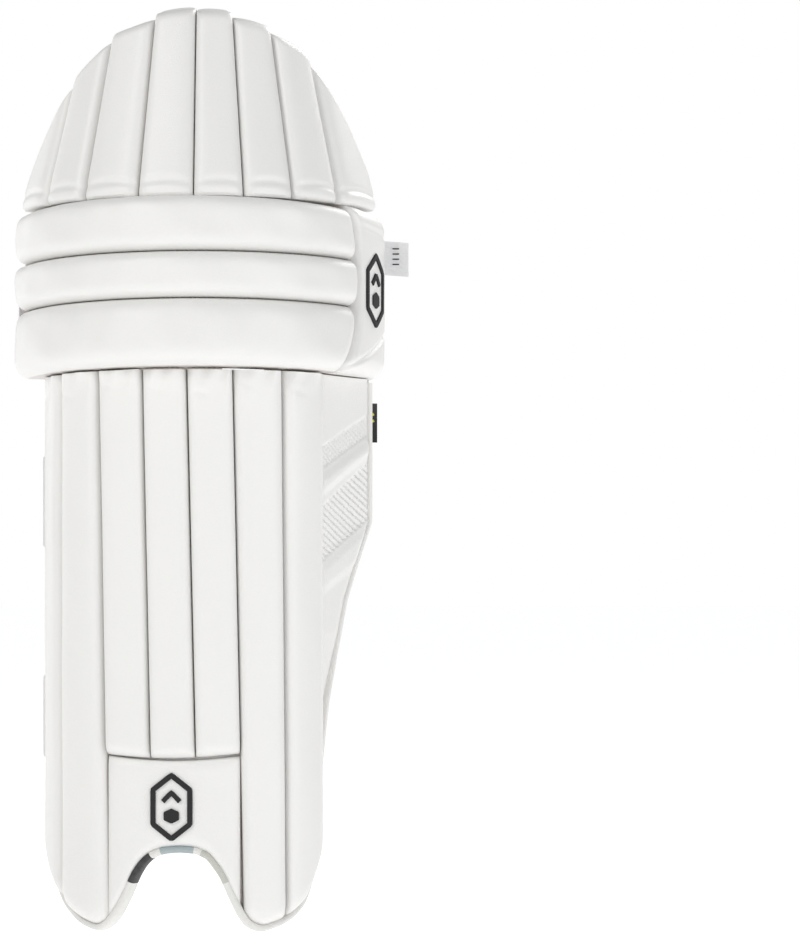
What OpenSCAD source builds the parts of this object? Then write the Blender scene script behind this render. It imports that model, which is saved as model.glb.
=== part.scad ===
// Cricket batting leg pad for the left leg, worn upright, in millimetres.
// +Z runs up the leg, -Y is the front that meets the ball and +X is the wing side.
// The origin is on the leg's axis, level with the lowest points of the two lobes.

/* [Shin] */
// How far a shin roll stands out from the board
roll_bulge = 14.5; // [10:0.5:16]
// Thickness of the dense board behind the rolls
board_t = 5; // [4:0.5:6]
// Thickness of the spacer mesh lining
lining_t = 3; // [2:0.5:3]
// Thickness of the soft bolsters that rest on the leg
bolster_t = 22; // [16:1:24]
// Height at which the three middle rolls stop and the instep panel begins
instep_top = 133; // [120:1:150]
// Radius of the arch over the foot
arch_r = 42; // [38:1:44]

/* [Knee and thigh] */
// Outer radius of the knee rolls, seen from above
knee_r = 148; // [146:0.5:150]
// Heights of the knee roll seams at the front, from the bottom edge to the top edge
knee_seams = [427, 479, 514.5, 557];
// Lean of the knee and thigh sections, which raises the front of each seam
knee_lean = 5; // [3:0.5:6]
// Outer radius of the thigh flap at its base
thigh_r = 142; // [140:0.5:144]
// How fast the thigh flap narrows: radius lost for each millimetre of height
thigh_taper = 0.255; // [0.2:0.005:0.28]

/* [Straps] */
// Widths of the knee, calf and ankle straps
strap_w = [31, 65, 58];
// Heights of the strap centres
strap_z = [464.5, 324, 160];
// Thickness of the strap webbing
strap_t = 2.2; // [1.8:0.1:2.4]
// Radius of the round bars of the strap rings
bar_r = 1.75; // [1.5:0.05:1.8]

/* [Hidden] */
$fn = 64;

gap = 0.4;                      // clearance between pieces that move apart
seam = 0.3;                     // gap between neighbouring rolls
stitch_t = 2.5;                 // thickness that is left of a roll at its stitched seams

// The board's outline seen from above: eight arcs, from the inner edge round the front to the
// wing's edge. Each has a length, and a heading in degrees that turns steadily along it.
seg_w = [34, 36, 33.5, 32.8, 33, 34, 33, 62];
seg_h = [88, 58, 27, 13, 3, -9, -27, -55, -44];
seg_n = len(seg_w);
curve_start = [-89.4, -5.2];
function part_turn(k, f) = (seg_h[k + 1] - seg_h[k]) * f;
function part_chord(k, f) = let (d = part_turn(k, f), w = seg_w[k] * f, h = seg_h[k] + d / 2,
    c = abs(d) < 0.01 ? w : w * sin(d / 2) / (d / 2 * PI / 180)) [c * cos(h), -c * sin(h)];
seg_s = [for (i = 0, s = 0; i <= seg_n; s = s + (i < seg_n ? seg_w[i] : 0), i = i + 1) s];
seg_p = [for (i = 0, p = curve_start; i <= seg_n;
    p = p + (i < seg_n ? part_chord(i, 1) : [0, 0]), i = i + 1) p];
function seg_of(s, k = 0) = k >= seg_n - 1 || s < seg_s[k + 1] ? k : seg_of(s, k + 1);
// The point a distance s along the outline and t out from it
function at(s, t) = let (k = seg_of(s), f = (s - seg_s[k]) / seg_w[k], h = seg_h[k] + part_turn(k, f))
    seg_p[k] + part_chord(k, f) + t * [-sin(h), -cos(h)];

// A flat layer that follows the outline, from s0 to s1 and from t0 to t1
module layer(s0, s1, t0, t1, steps = 24) {
  polygon(concat([for (i = [0 : steps]) at(s0 + (s1 - s0) * i / steps, t1)],
                 [for (i = [steps : -1 : 0]) at(s0 + (s1 - s0) * i / steps, t0)]));
}

// A padded roll's section: flat at the back, crowned in front
module roll_section(s0, s1, bulge) {
  steps = 14;
  polygon(concat([for (i = [0 : steps]) let (u = 2 * i / steps - 1)
                    at(s0 + (s1 - s0) * i / steps, stitch_t + (bulge - stitch_t) * sqrt(1 - pow(u, 4)))],
                 [for (i = [4 : -1 : 0]) at(s0 + (s1 - s0) * i / 4, 0.2)]));
}

// Everything below the knee section, whose lower edge leans with it
shin_front_y = -111;
module below_knee(drop = 1) {
  translate([-200, shin_front_y, knee_seams[0] - drop]) rotate([-knee_lean, 0, 0])
    translate([0, -60, -460]) cube([400, 260, 460]);
}

// The front outline of the lower end: two round lobes with the arch between them
lobe_in = [-71, 30];
lobe_out = [75, 32];
arch_at = [0, 18];
module lower_outline(arch = arch_r) {
  translate([0, 150, 0]) rotate([90, 0, 0]) linear_extrude(300) difference() {
    union() {
      translate([-160, lobe_in[1]]) square([340, 430]);
      translate(lobe_in) circle(lobe_in[1]);
      translate(lobe_out) circle(lobe_out[1]);
    }
    translate(arch_at) circle(arch);
    translate([arch_at[0] - arch, -10]) square([2 * arch, 10 + arch_at[1]]);
  }
}

module shin_slab(top = 440) {
  intersection() {
    linear_extrude(top) children();
    lower_outline();
    below_knee();
  }
}

// Cane rods stiffen the rolls: one in the middle of each
cane_r = 4;
cane_top = 405;
function cane_from(k) = k >= 3 && k <= 5 ? instep_top + 12 : 45;
module cane(k, r) {
  mid = (seg_s[k - 1] + seg_s[k]) / 2;
  translate(concat(at(mid, 1.2 + cane_r), cane_from(k))) cylinder(h = cane_top - cane_from(k), r = r);
}

module shin_roll(k) {
  difference() {
    shin_slab() roll_section(seg_s[k - 1] + seam / 2, seg_s[k] - seam / 2, roll_bulge);
    if (k >= 3 && k <= 5) translate([-100, -150, -5]) cube([200, 150, instep_top + 5 + seam]);
    cane(k, cane_r + 0.05);
  }
}

module shin_board() color("gainsboro") shin_slab() layer(0, seg_s[7] - seam, -board_t, 0);

// The lining lies behind the board and wraps the pad's inner edge
module shin_lining() color("mistyrose") shin_slab() {
  steps = 40;
  back = -board_t - lining_t;
  front = -board_t - seam;
  s_end = seg_s[7] - seam;
  polygon(concat([at(-4, roll_bulge - 3)],
                 [for (i = [0 : steps]) at(-4 + (s_end + 4) * i / steps, back)],
                 [for (i = [steps : -1 : 0]) at(-0.5 + (s_end + 0.5) * i / steps, front)],
                 [at(-0.5, roll_bulge - 3)]));
}

module cane_rods() color("burlywood") for (k = [1 : 7]) cane(k, cane_r);

instep_t = 12;
module instep_panel() color("ivory")
  shin_slab(instep_top) layer(seg_s[2] + seam / 2, seg_s[5] - seam / 2, 0.2, instep_t);

module instep_emblem() color("dimgray") translate([0, 0, 68])
  linear_extrude(54) layer(105, 138, instep_t + 0.1, instep_t + 2, 8);

// Bound edge of the arch
module instep_binding() color("slategray") difference() {
  intersection() {
    linear_extrude(90) layer(62, 176, -board_t - lining_t, instep_t);
    translate([arch_at[0], 0, arch_at[1]]) rotate([90, 0, 0]) cylinder(h = 150, r = arch_r - 0.1);
    translate([-60, -150, 13]) cube([120, 140, 90]);
  }
  translate([arch_at[0], 1, arch_at[1]]) rotate([90, 0, 0]) cylinder(h = 152, r = arch_r - 2.4);
}

// The wing is cut back towards the ankle, seen from the side
wing_t = 9;
wing_low = 105;
wing_cut = [[-44, wing_low], [-35, 170], [-17, 250], [4, 312], [4, 440]];
module wing_slab(grow, s1, t0, t1, low = wing_low) {
  intersection() {
    linear_extrude(440) layer(seg_s[7] + seam / 2, s1, t0, t1);
    translate([60, 0, 0]) rotate([90, 0, 90]) linear_extrude(120)
      polygon(concat([[-80, 440], [-80, low]], [for (p = wing_cut) [p[0] + grow, max(p[1], low)]]));
    below_knee();
  }
}
wing_skin = 2;
module wing_core() wing_slab(-wing_skin, seg_s[8] - wing_skin, 0.2 - board_t + wing_skin,
  wing_t - wing_skin, wing_low + 25);
module calf_wing() color("white") difference() {
  wing_slab(0, seg_s[8], 0.2 - board_t, wing_t);
  wing_core();
}
module wing_foam() color("lightyellow") wing_core();
rim = 3.5;
module wing_lining() color("mistyrose") difference() {
  wing_slab(rim, seg_s[8] + rim, -board_t - lining_t, wing_t - 1);
  wing_slab(0.2, seg_s[8] + 0.2, -board_t, wing_t + 1, wing_low - 1);
}

// Soft bolsters on the leg side, as foam blocks in a leather skin
bolster_face = -board_t - lining_t - 0.2;
skin = 1.5;
module bolster_block(s0, s1, z0, z1, inset) {
  translate([0, 0, z0 + inset]) linear_extrude(z1 - z0 - 2 * inset)
    layer(s0 + inset, s1 - inset, bolster_face - bolster_t + inset, bolster_face - inset, 12);
}
module centre_core(inset) bolster_block(92, 160.5, 136, 426, inset);
// The wing-side bolster is waisted above the ankle
module outer_core(inset) {
  bolster_block(162.5, 230, 230, 424, inset);
  bolster_block(162.5, 213, 60, 230 + 2 * inset, inset);
}
module inner_core(inset) bolster_block(20, 90, 50, 424, inset);
module centre_bolster() color("ivory") difference() { centre_core(0); centre_core(skin); }
module outer_bolster() color("ivory") difference() { outer_core(0); outer_core(skin); }
module inner_bolster() color("ivory") difference() { inner_core(0); inner_core(skin); }
module bolster_foams() color("lightyellow") { centre_core(skin); outer_core(skin); inner_core(skin); }

// The knee and thigh sections are arcs about one centre, leaned together
knee_c = [14, 37];
module knee_frame() {
  translate([0, shin_front_y, knee_seams[0]]) rotate([-knee_lean, 0, 0])
    translate([0, -shin_front_y, -knee_seams[0]]) children();
}
// Turns a flat section drawn as [radius, height] from angle a0 to a1, counted from the front to +X
module knee_arc(a0, a1) {
  knee_frame() translate([knee_c[0], knee_c[1], 0]) rotate([0, 0, a0 - 90])
    rotate_extrude(angle = a1 - a0, $fn = 96) children();
}
knee_from = -75;
knee_seam_a = 57.5;
knee_to = 80;
knee_roll_t = 25.5;
knee_edge = 9;
function crown(z0, z1, r, bulge, steps = 12) = [for (i = [0 : steps])
    let (u = 2 * i / steps - 1) [r + bulge * sqrt(1 - pow(u, 4)), z0 + (z1 - z0) * i / steps]];
module knee_roll(k) color("white") knee_arc(knee_from, knee_seam_a) polygon(concat(
    [[knee_r - knee_roll_t, knee_seams[k] + seam]],
    crown(knee_seams[k] + seam, knee_seams[k + 1], knee_r - knee_roll_t + knee_edge,
          knee_roll_t - knee_edge),
    [[knee_r - knee_roll_t, knee_seams[k + 1]]]));
module knee_side_panel() color("white") knee_arc(knee_seam_a + 0.2, knee_to) polygon(concat(
    [[knee_r - knee_roll_t, knee_seams[0] + seam]],
    crown(knee_seams[0] + seam, knee_seams[3] - 8, knee_r - 9, 8),
    [[knee_r - knee_roll_t, knee_seams[3] - 8]]));
module knee_emblem() color("dimgray") knee_arc(61, 73)
  translate([knee_r - 0.6, 466]) square([1.6, 50]);
module knee_board() color("gainsboro") knee_arc(knee_from, knee_to)
  translate([knee_r - knee_roll_t - 4.3, knee_seams[0] + seam]) square([4, 129]);

// Foam wings that wrap the knee, on the leg side of the board
wing_face = 117.7;
knee_wing_t = 23;
module knee_wing_core(a0, a1, z0, z1, inset) {
  turn = inset / wing_face * 180 / PI;
  knee_arc(a0 + turn, a1 - turn) translate([wing_face - knee_wing_t + inset, z0 + inset])
    square([knee_wing_t - 2 * inset, z1 - z0 - 2 * inset]);
}
module outer_wing_core(inset) knee_wing_core(11, 78, 446, 554, inset);
module inner_wing_core(inset) knee_wing_core(-74, -25, 436, 552, inset);
module knee_wing_outer() color("mistyrose") difference() { outer_wing_core(0); outer_wing_core(skin); }
module knee_wing_inner() color("mistyrose") difference() { inner_wing_core(0); inner_wing_core(skin); }
module knee_wing_foams() color("lightyellow") { outer_wing_core(skin); inner_wing_core(skin); }
module knee_centre_panel() color("ivory") knee_arc(-24.5, 10.5)
  translate([wing_face - 10, 440]) square([10, 115]);

module care_label() color("white") translate([158.8, 15.6, 498]) cube([15.2, 0.6, 26]);

// Front outline of the thigh flap: the side rolls are shorter, and each roll has its own top
thigh_outline = [[-142, 530], [-126, 552], [-116, 583], [-106, 613], [-94, 638], [-86, 650],
  [-70, 665], [-56, 677], [-53, 682], [-23, 693], [-21, 698], [12, 700], [13, 698], [43, 697],
  [44, 692], [71, 687], [74, 682], [101, 667], [104, 660], [130, 612], [152, 570], [167, 530]];
module thigh_mask(inset = 0) translate([0, 160, 0]) rotate([90, 0, 0]) linear_extrude(300)
  translate([14, 560]) scale((140 - inset) / 140) translate([-14, -560]) polygon(thigh_outline);

// Angles of the seams between the eight thigh rolls, from the front towards +X
thigh_seams = [-75, -56, -38.3, -18.8, -0.8, 15.2, 31.8, 50, 74];
thigh_base = knee_seams[3] + 0.9;
thigh_top = 735;
thigh_roll_t = 16;
// A layer of the tapering flap, from depth d0 to d1 below its outer face
function thigh_edge(d, z) = [thigh_r - thigh_taper * (z - thigh_base) - d, z];
module thigh_layer(a0, a1, d0, d1, z0 = thigh_base, z1 = thigh_top) knee_arc(a0, a1)
  polygon([thigh_edge(d1, z0), thigh_edge(d0, z0), thigh_edge(d0, z1), thigh_edge(d1, z1)]);
module thigh_roll(k) color("white") intersection() {
  thigh_layer(thigh_seams[k - 1] + 0.1, thigh_seams[k] - 0.1, 0, thigh_roll_t);
  thigh_mask();
}
thigh_board_t = 6;
module thigh_board() color("gainsboro") intersection() {
  thigh_layer(thigh_seams[0], thigh_seams[8], thigh_roll_t + 0.2, thigh_roll_t + thigh_board_t);
  thigh_mask(3);
}
// Inner panel on the leg side, with a domed top
panel_half = 121;
panel_h = 130;
module panel_mask() translate([0, 160, 0]) rotate([90, 0, 0]) linear_extrude(300)
  polygon(concat([[5 + panel_half, 520], [5 - panel_half, 520]],
                 [for (a = [180 : -7.5 : 0]) [5 + panel_half * cos(a), 556 + panel_h * pow(sin(a), 0.8)]]));
panel_in = thigh_roll_t + thigh_board_t + 0.2;
panel_t = 9;
module thigh_inner_panel() color("white") intersection() {
  thigh_layer(thigh_seams[0] + 1, thigh_seams[8] - 1, panel_in, panel_in + panel_t);
  panel_mask();
}
module thigh_badge() color("gold") intersection() {
  thigh_layer(30, 52, panel_in + panel_t + 0.1, panel_in + panel_t + 1.6);
  knee_frame() translate([knee_c[0], knee_c[1], 571]) rotate([90, 0, 40]) cylinder(h = 150, r = 11.5);
}

// Straps: each follows one arc round the back of the leg. Its centre, radius, and the places
// across the pad, as x, of the anchor's seam, the ring's two bars, the strap's end, the loop
// panel's two ends and the end of the tongue behind the ring.
arc_c = [[14, -168], [14, -176], [-7, -111]];
arc_r = [230, 220, 150];
anchor_x = [149, 134, 114];
outer_bar_x = [134, 114, 101];
inner_bar_x = [122, 102, 89];
strap_end_x = [-88, -94, -65];
loop_x = [[-129, 78], [-107, -35], [-104, -20]];
tongue_x = [[112, 133], [45, 125], [76, 105]];
loop_t = 1.8;
// Angle from straight back towards +X of the place x on strap k's arc
function arc_a(k, x) = asin((x - arc_c[k][0]) / arc_r[k]);
module strap_arc(k, x0, x1, r0, r1, w) {
  translate([arc_c[k][0], arc_c[k][1], strap_z[k] - w / 2]) rotate([0, 0, 90 - arc_a(k, x1)])
    rotate_extrude(angle = arc_a(k, x1) - arc_a(k, x0), $fn = 96)
      translate([arc_r[k] + r0, 0]) square([r1 - r0, w]);
}
function on_arc(k, x, r = 0) = arc_c[k]
    + (arc_r[k] + strap_t / 2 + r) * [sin(arc_a(k, x)), cos(arc_a(k, x))];
// A fold of webbing round a ring's bar; the strap's arc ends inside the fold's wall
fold_hole = bar_r + 0.35;
fold_r = fold_hole + strap_t;
fold_meet = (fold_hole + fold_r) / 2;
module fold(k, x, w, z) translate(concat(on_arc(k, x), z - w / 2 + 0.2)) rotate([0, 0, 90])
  difference() {
    cylinder(h = w - 0.4, r = fold_r);
    translate([0, 0, -1]) cylinder(h = w + 2, r = fold_hole);
  }
module strap(k) color("white") {
  strap_arc(k, strap_end_x[k], inner_bar_x[k] - fold_meet, 0, strap_t, strap_w[k]);
  fold(k, inner_bar_x[k], strap_w[k], strap_z[k]);
}
tab_len = [38, 76, 76];
tab_t = 1.6;
module strap_tab(k) color("white") strap_arc(k, strap_end_x[k] - 1.5, strap_end_x[k] + tab_len[k],
  strap_t + 0.1, strap_t + 0.1 + tab_t, strap_w[k] - 2);
module anchor(k, w, z) {
  translate([0, 0, z - strap_z[k]])
    strap_arc(k, outer_bar_x[k] + fold_meet, anchor_x[k], 0, strap_t, w);
  fold(k, outer_bar_x[k], w, z);
}
// A flat rectangular ring of round bar
ring_end = 3.2;
module strap_ring(k) color("whitesmoke") {
  a = on_arc(k, outer_bar_x[k]);
  b = on_arc(k, inner_bar_x[k]);
  half = strap_w[k] / 2 + ring_end;
  translate([0, 0, strap_z[k]]) {
    for (p = [a, b]) translate(concat(p, -half)) cylinder(h = 2 * half, r = bar_r);
    for (side = [-1, 1]) translate(concat((a + b) / 2, side * half))
      rotate([0, 0, atan2(a[1] - b[1], a[0] - b[0])])
        cube([norm(a - b) + 2 * bar_r, 2 * bar_r, 2 * bar_r], center = true);
  }
}
module loop_panel(k) color("snow")
  strap_arc(k, loop_x[k][0], loop_x[k][1], -gap - loop_t, -gap, strap_w[k] + 4);
module strap_tongues() color("white") for (k = [0 : 2])
  strap_arc(k, tongue_x[k][0], tongue_x[k][1], -fold_r - 1, strap_t / 2 - fold_r - gap,
            strap_w[k] + 12);
module calf_anchors() color("darkgray") for (side = [-1, 1]) anchor(1, 28, strap_z[1] + side * 17);

// Hang tag on a loop of ribbon at the wing's edge
tag_at = [142, 12, 415];
module hang_tag_loop() color("gray") translate(tag_at - [1.5, 0.4, 14]) cube([3, 0.8, 14]);
module hang_tag() color("black") translate(tag_at - [8, 0.5, 45.8]) cube([16, 1, 30]);

shin_board();
color("white") shin_roll(1);  // shin_roll_1
color("white") shin_roll(2);  // shin_roll_2
color("white") shin_roll(3);  // shin_roll_3
color("white") shin_roll(4);  // shin_roll_4
color("white") shin_roll(5);  // shin_roll_5
color("white") shin_roll(6);  // shin_roll_6
color("white") shin_roll(7);  // shin_roll_7
cane_rods();
instep_panel();
instep_emblem();
instep_binding();
calf_wing();
wing_foam();
wing_lining();
shin_lining();
centre_bolster();
outer_bolster();
inner_bolster();
bolster_foams();
knee_board();
knee_roll(0);  // knee_roll_lower
knee_roll(1);  // knee_roll_middle
knee_roll(2);  // knee_roll_upper
knee_side_panel();
knee_emblem();
knee_wing_outer();
knee_wing_inner();
knee_wing_foams();
knee_centre_panel();
care_label();
strap_tongues();
loop_panel(0);  // knee_loop_strap
loop_panel(1);  // calf_loop_panel
loop_panel(2);  // ankle_loop_panel
color("darkgray") anchor(0, strap_w[0], strap_z[0]);  // knee_anchor
calf_anchors();
color("darkgray") anchor(2, strap_w[2], strap_z[2]);  // ankle_anchor
strap_ring(0);  // knee_ring
strap_ring(1);  // calf_ring
strap_ring(2);  // ankle_ring
strap(0);  // knee_strap
strap(1);  // calf_strap
strap(2);  // ankle_strap
strap_tab(0);  // knee_strap_tab
strap_tab(1);  // calf_strap_tab
strap_tab(2);  // ankle_strap_tab
thigh_roll(1);  // thigh_roll_1
thigh_roll(2);  // thigh_roll_2
thigh_roll(3);  // thigh_roll_3
thigh_roll(4);  // thigh_roll_4
thigh_roll(5);  // thigh_roll_5
thigh_roll(6);  // thigh_roll_6
thigh_roll(7);  // thigh_roll_7
thigh_roll(8);  // thigh_roll_8
thigh_board();
thigh_inner_panel();
thigh_badge();
hang_tag_loop();
hang_tag();
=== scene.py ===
"""The looks of a left cricket leg pad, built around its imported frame. Lengths are millimetres
until a mesh is made, and metres after that."""
import math

import bpy
import numpy as np
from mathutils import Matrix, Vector


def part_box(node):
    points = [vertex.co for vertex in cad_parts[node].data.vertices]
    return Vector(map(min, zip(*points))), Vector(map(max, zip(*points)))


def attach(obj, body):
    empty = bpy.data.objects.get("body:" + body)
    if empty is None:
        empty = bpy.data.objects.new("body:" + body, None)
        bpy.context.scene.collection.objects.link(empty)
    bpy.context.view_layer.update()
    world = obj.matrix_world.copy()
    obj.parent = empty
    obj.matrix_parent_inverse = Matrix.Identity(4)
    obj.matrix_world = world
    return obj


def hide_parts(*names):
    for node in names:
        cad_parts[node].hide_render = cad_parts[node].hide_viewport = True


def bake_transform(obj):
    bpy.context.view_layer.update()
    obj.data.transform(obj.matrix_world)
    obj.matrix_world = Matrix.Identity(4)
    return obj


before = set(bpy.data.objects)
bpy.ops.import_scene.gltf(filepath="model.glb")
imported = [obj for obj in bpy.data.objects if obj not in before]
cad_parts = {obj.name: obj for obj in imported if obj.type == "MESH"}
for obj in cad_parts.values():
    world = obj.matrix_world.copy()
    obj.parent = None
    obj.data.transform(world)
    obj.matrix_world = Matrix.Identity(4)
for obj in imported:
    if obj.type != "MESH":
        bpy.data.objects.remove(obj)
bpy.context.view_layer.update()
MM = 0.001

# ---------------- camera, lights and floor
VIEW_H = 0.7025             # height that the picture covers at the pad, in metres
CAMERA_AT = (0.1675, -5.1, 0.3497)
FAR = 5.0                   # from the camera to the pad's front


def make_camera():
    data = bpy.data.cameras.new("camera")
    data.sensor_width = 36
    data.lens = data.sensor_width * FAR / VIEW_H
    data.clip_end = 50
    camera = bpy.data.objects.new("camera", data)
    camera.location = CAMERA_AT
    camera.rotation_euler = (math.radians(90), 0, 0)
    bpy.context.collection.objects.link(camera)
    bpy.context.scene.camera = camera


def area_light(name, at, aim, size, watts, colour=(1, 1, 1)):
    data = bpy.data.lights.new(name, "AREA")
    data.size = size
    data.energy = watts
    data.color = colour
    light = bpy.data.objects.new(name, data)
    light.location = at
    direction = np.array(aim, float) - np.array(at, float)
    light.rotation_euler = Vector(direction).to_track_quat("-Z", "Y").to_euler()
    bpy.context.collection.objects.link(light)


def make_studio():
    scene = bpy.context.scene
    scene.view_settings.view_transform = "Standard"
    world = bpy.data.worlds.new("studio")
    scene.world = world
    world.use_nodes = True
    tree = world.node_tree
    sky = tree.nodes["Background"]
    sky.inputs["Color"].default_value = (0.97, 0.985, 1.0, 1)
    sky.inputs["Strength"].default_value = 0.36
    white = tree.nodes.new("ShaderNodeBackground")
    white.inputs["Color"].default_value = (1, 1, 1, 1)
    white.inputs["Strength"].default_value = 1.0
    seen = tree.nodes.new("ShaderNodeLightPath")
    mix = tree.nodes.new("ShaderNodeMixShader")
    tree.links.new(seen.outputs["Is Camera Ray"], mix.inputs["Fac"])
    tree.links.new(sky.outputs["Background"], mix.inputs[1])
    tree.links.new(white.outputs["Background"], mix.inputs[2])
    tree.links.new(mix.outputs["Shader"], tree.nodes["World Output"].inputs["Surface"])
    area_light("key", (-2.0, -2.3, 2.4), (0, 0, 0.4), 1.3, 40, (1.0, 0.992, 0.975))
    area_light("fill", (2.4, -2.2, 1.0), (0, 0, 0.35), 1.8, 22, (0.98, 0.99, 1.0))
    area_light("back_key", (1.8, 2.4, 2.4), (0, 0, 0.35), 1.3, 60, (1.0, 0.99, 0.97))
    area_light("back_fill", (-2.4, 2.3, 1.0), (0, 0, 0.35), 1.8, 14)


def make_floor():
    half, z = 12.0, -0.004
    corners = [(-half, -half, z), (half, -half, z), (half, half, z), (-half, half, z)]
    mesh = bpy.data.meshes.new("floor")
    mesh.from_pydata(corners, [], [(0, 1, 2, 3)])
    white = Graph("floor_white", 0.8, Emission_Color=(1, 1, 1, 1), Emission_Strength=0.8)
    white.colour((0.5, 0.5, 0.5, 1))
    mesh.materials.append(white.mat)
    floor = bpy.data.objects.new("floor", mesh)
    bpy.context.collection.objects.link(floor)


# ---------------- materials
class Graph:
    """A material's nodes, with short calls to add and join them."""

    def __init__(self, name, rough, **sockets):
        self.mat = bpy.data.materials.new(name)
        self.mat.use_nodes = True
        self.tree = self.mat.node_tree
        self.bsdf = self.tree.nodes["Principled BSDF"]
        self.bsdf.inputs["Roughness"].default_value = rough
        for key, value in sockets.items():
            self.bsdf.inputs[key.replace("_", " ")].default_value = value

    def node(self, kind, **settings):
        made = self.tree.nodes.new("ShaderNode" + kind)
        for key, value in settings.items():
            if key in made.inputs:
                made.inputs[key].default_value = value
            else:
                setattr(made, key, value)
        return made

    def put(self, value, socket):
        if isinstance(value, bpy.types.NodeSocket):
            self.tree.links.new(value, socket)
        else:
            socket.default_value = value

    def math(self, operation, a, b=0.0, c=0.0):
        made = self.node("Math", operation=operation)
        for value, socket in zip((a, b, c), made.inputs):
            self.put(value, socket)
        return made.outputs[0]

    def times(self, a, b):
        return self.math("MULTIPLY", a, b)

    def mix(self, fac, a, b):
        made = self.node("Mix", data_type="RGBA")
        self.put(fac, made.inputs[0])
        self.put(a, made.inputs[6])
        self.put(b, made.inputs[7])
        return made.outputs[2]

    def uv(self):
        apart = self.node("SeparateXYZ")
        self.tree.links.new(self.node("UVMap", uv_map="UVMap").outputs[0], apart.inputs[0])
        return apart.outputs[0], apart.outputs[1]

    def noise(self, scale, detail=3.0):
        made = self.node("TexNoise", Scale=scale, Detail=detail)
        self.tree.links.new(self.node("TexCoord").outputs["Object"], made.inputs["Vector"])
        return made.outputs["Fac"]

    def grain(self, scale):
        made = self.node("TexVoronoi", Scale=scale)
        self.tree.links.new(self.node("TexCoord").outputs["Object"], made.inputs["Vector"])
        return made.outputs["Distance"]

    def attribute(self, name):
        return self.node("Attribute", attribute_name=name).outputs["Fac"]

    def weave(self, wave, across, up):
        """Crossed waves, SINE or COSINE, with so many radians to the metre across and up."""
        u, v = self.uv()
        return self.times(self.math(wave, self.times(u, across)), self.math(wave, self.times(v, up)))

    def step(self, value, low, high):
        """0 up to low and 1 from high, with an eased step between them."""
        made = self.node("MapRange", interpolation_type="SMOOTHSTEP")
        self.put(value, made.inputs["Value"])
        made.inputs["From Min"].default_value = low
        made.inputs["From Max"].default_value = high
        return made.outputs[0]

    def bands(self, value, stops):
        """Flat bands of colour, each from its own place to the next one's."""
        made = self.node("ValToRGB")
        ramp = made.color_ramp
        ramp.interpolation = "CONSTANT"
        while len(ramp.elements) < len(stops):
            ramp.elements.new(0.5)
        for element, (place, colour) in zip(ramp.elements, stops):
            element.position = place
            element.color = colour
        self.put(value, made.inputs[0])
        return made.outputs[0]

    def colour(self, value):
        self.put(value, self.bsdf.inputs["Base Color"])

    def roughness(self, value):
        self.put(value, self.bsdf.inputs["Roughness"])

    def bump(self, height, depth, strength):
        made = self.node("Bump", Distance=depth, Strength=strength)
        self.tree.links.new(height, made.inputs["Height"])
        self.tree.links.new(made.outputs[0], self.bsdf.inputs["Normal"])


def rgb(r, g, b):
    """A colour given as the eye sees it, 0 to 255."""
    return tuple(((c / 255 + 0.055) / 1.055) ** 2.4 if c > 10 else c / 3295 for c in (r, g, b)) + (1,)


def darker(colour, share):
    return tuple(c * share for c in colour[:3]) + (1,)


def leather(name, base, seam_shade, rough=0.4, grain=1300, coat=0.06):
    """Coated leather: fine pebble grain, with painted shade that turns it greyer in its seams and hollows,
    where the mesh's 'depth' attribute is low.
    """
    g = Graph(name, rough, Coat_Weight=coat, Coat_Roughness=0.35)
    shade = g.mix(g.times(g.noise(14, 4), 0.5), base, darker(base, 0.955))
    # Painted shade: towards a 'depth' of 0, in seams and hollows, the colour mixes to the greyer second
    # colour.
    g.colour(g.mix(g.step(g.attribute("depth"), 0.02, 0.5), seam_shade, shade))
    g.roughness(g.math("MULTIPLY_ADD", g.noise(60), 0.14, rough - 0.07))
    g.bump(g.math("ADD", g.grain(grain), g.times(g.noise(420, 2), 0.6)), 0.00022, 0.55)
    return g.mat


def spacer_mesh(name, thread, hole, pitch):
    """Knitted spacer mesh: staggered holes between raised threads."""
    g = Graph(name, 0.85, Sheen_Weight=0.25, Sheen_Roughness=0.5)
    turn = 2 * math.pi / (pitch * MM)
    holes = g.step(g.weave("COSINE", turn, turn * 0.8), 0.05, 0.75)
    fine = g.noise(900, 2)
    g.colour(g.mix(holes, g.mix(fine, thread, darker(thread, 0.93)), hole))
    g.bump(g.math("SUBTRACT", g.times(fine, 0.25), holes), 0.0007, 0.8)
    return g.mat


def cloth(name, base, weave, rough=0.9, spread=0.9, sheen=0.3):
    """Plain woven or brushed cloth."""
    g = Graph(name, rough, Sheen_Weight=sheen, Sheen_Roughness=0.5)
    turn = 2 * math.pi * weave
    fuzz = g.noise(700, 3)
    g.colour(g.mix(fuzz, base, darker(base, spread)))
    g.bump(g.math("ADD", g.weave("SINE", turn, turn), g.times(fuzz, 1.5)), 0.00025, 0.6)
    return g.mat


BLACK = rgb(22, 21, 24)
STRIPES = [(0.0, rgb(247, 246, 244)), (0.31, BLACK), (0.425, rgb(250, 250, 249)),
           (0.455, rgb(174, 177, 166)), (0.61, rgb(204, 206, 199)), (0.77, rgb(247, 246, 244))]
TAB_STRIPES = [(0.0, rgb(246, 244, 250)), (0.31, BLACK), (0.425, rgb(248, 248, 252)),
               (0.455, rgb(214, 217, 224)), (0.61, rgb(226, 228, 227)), (0.77, rgb(246, 244, 250))]


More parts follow.
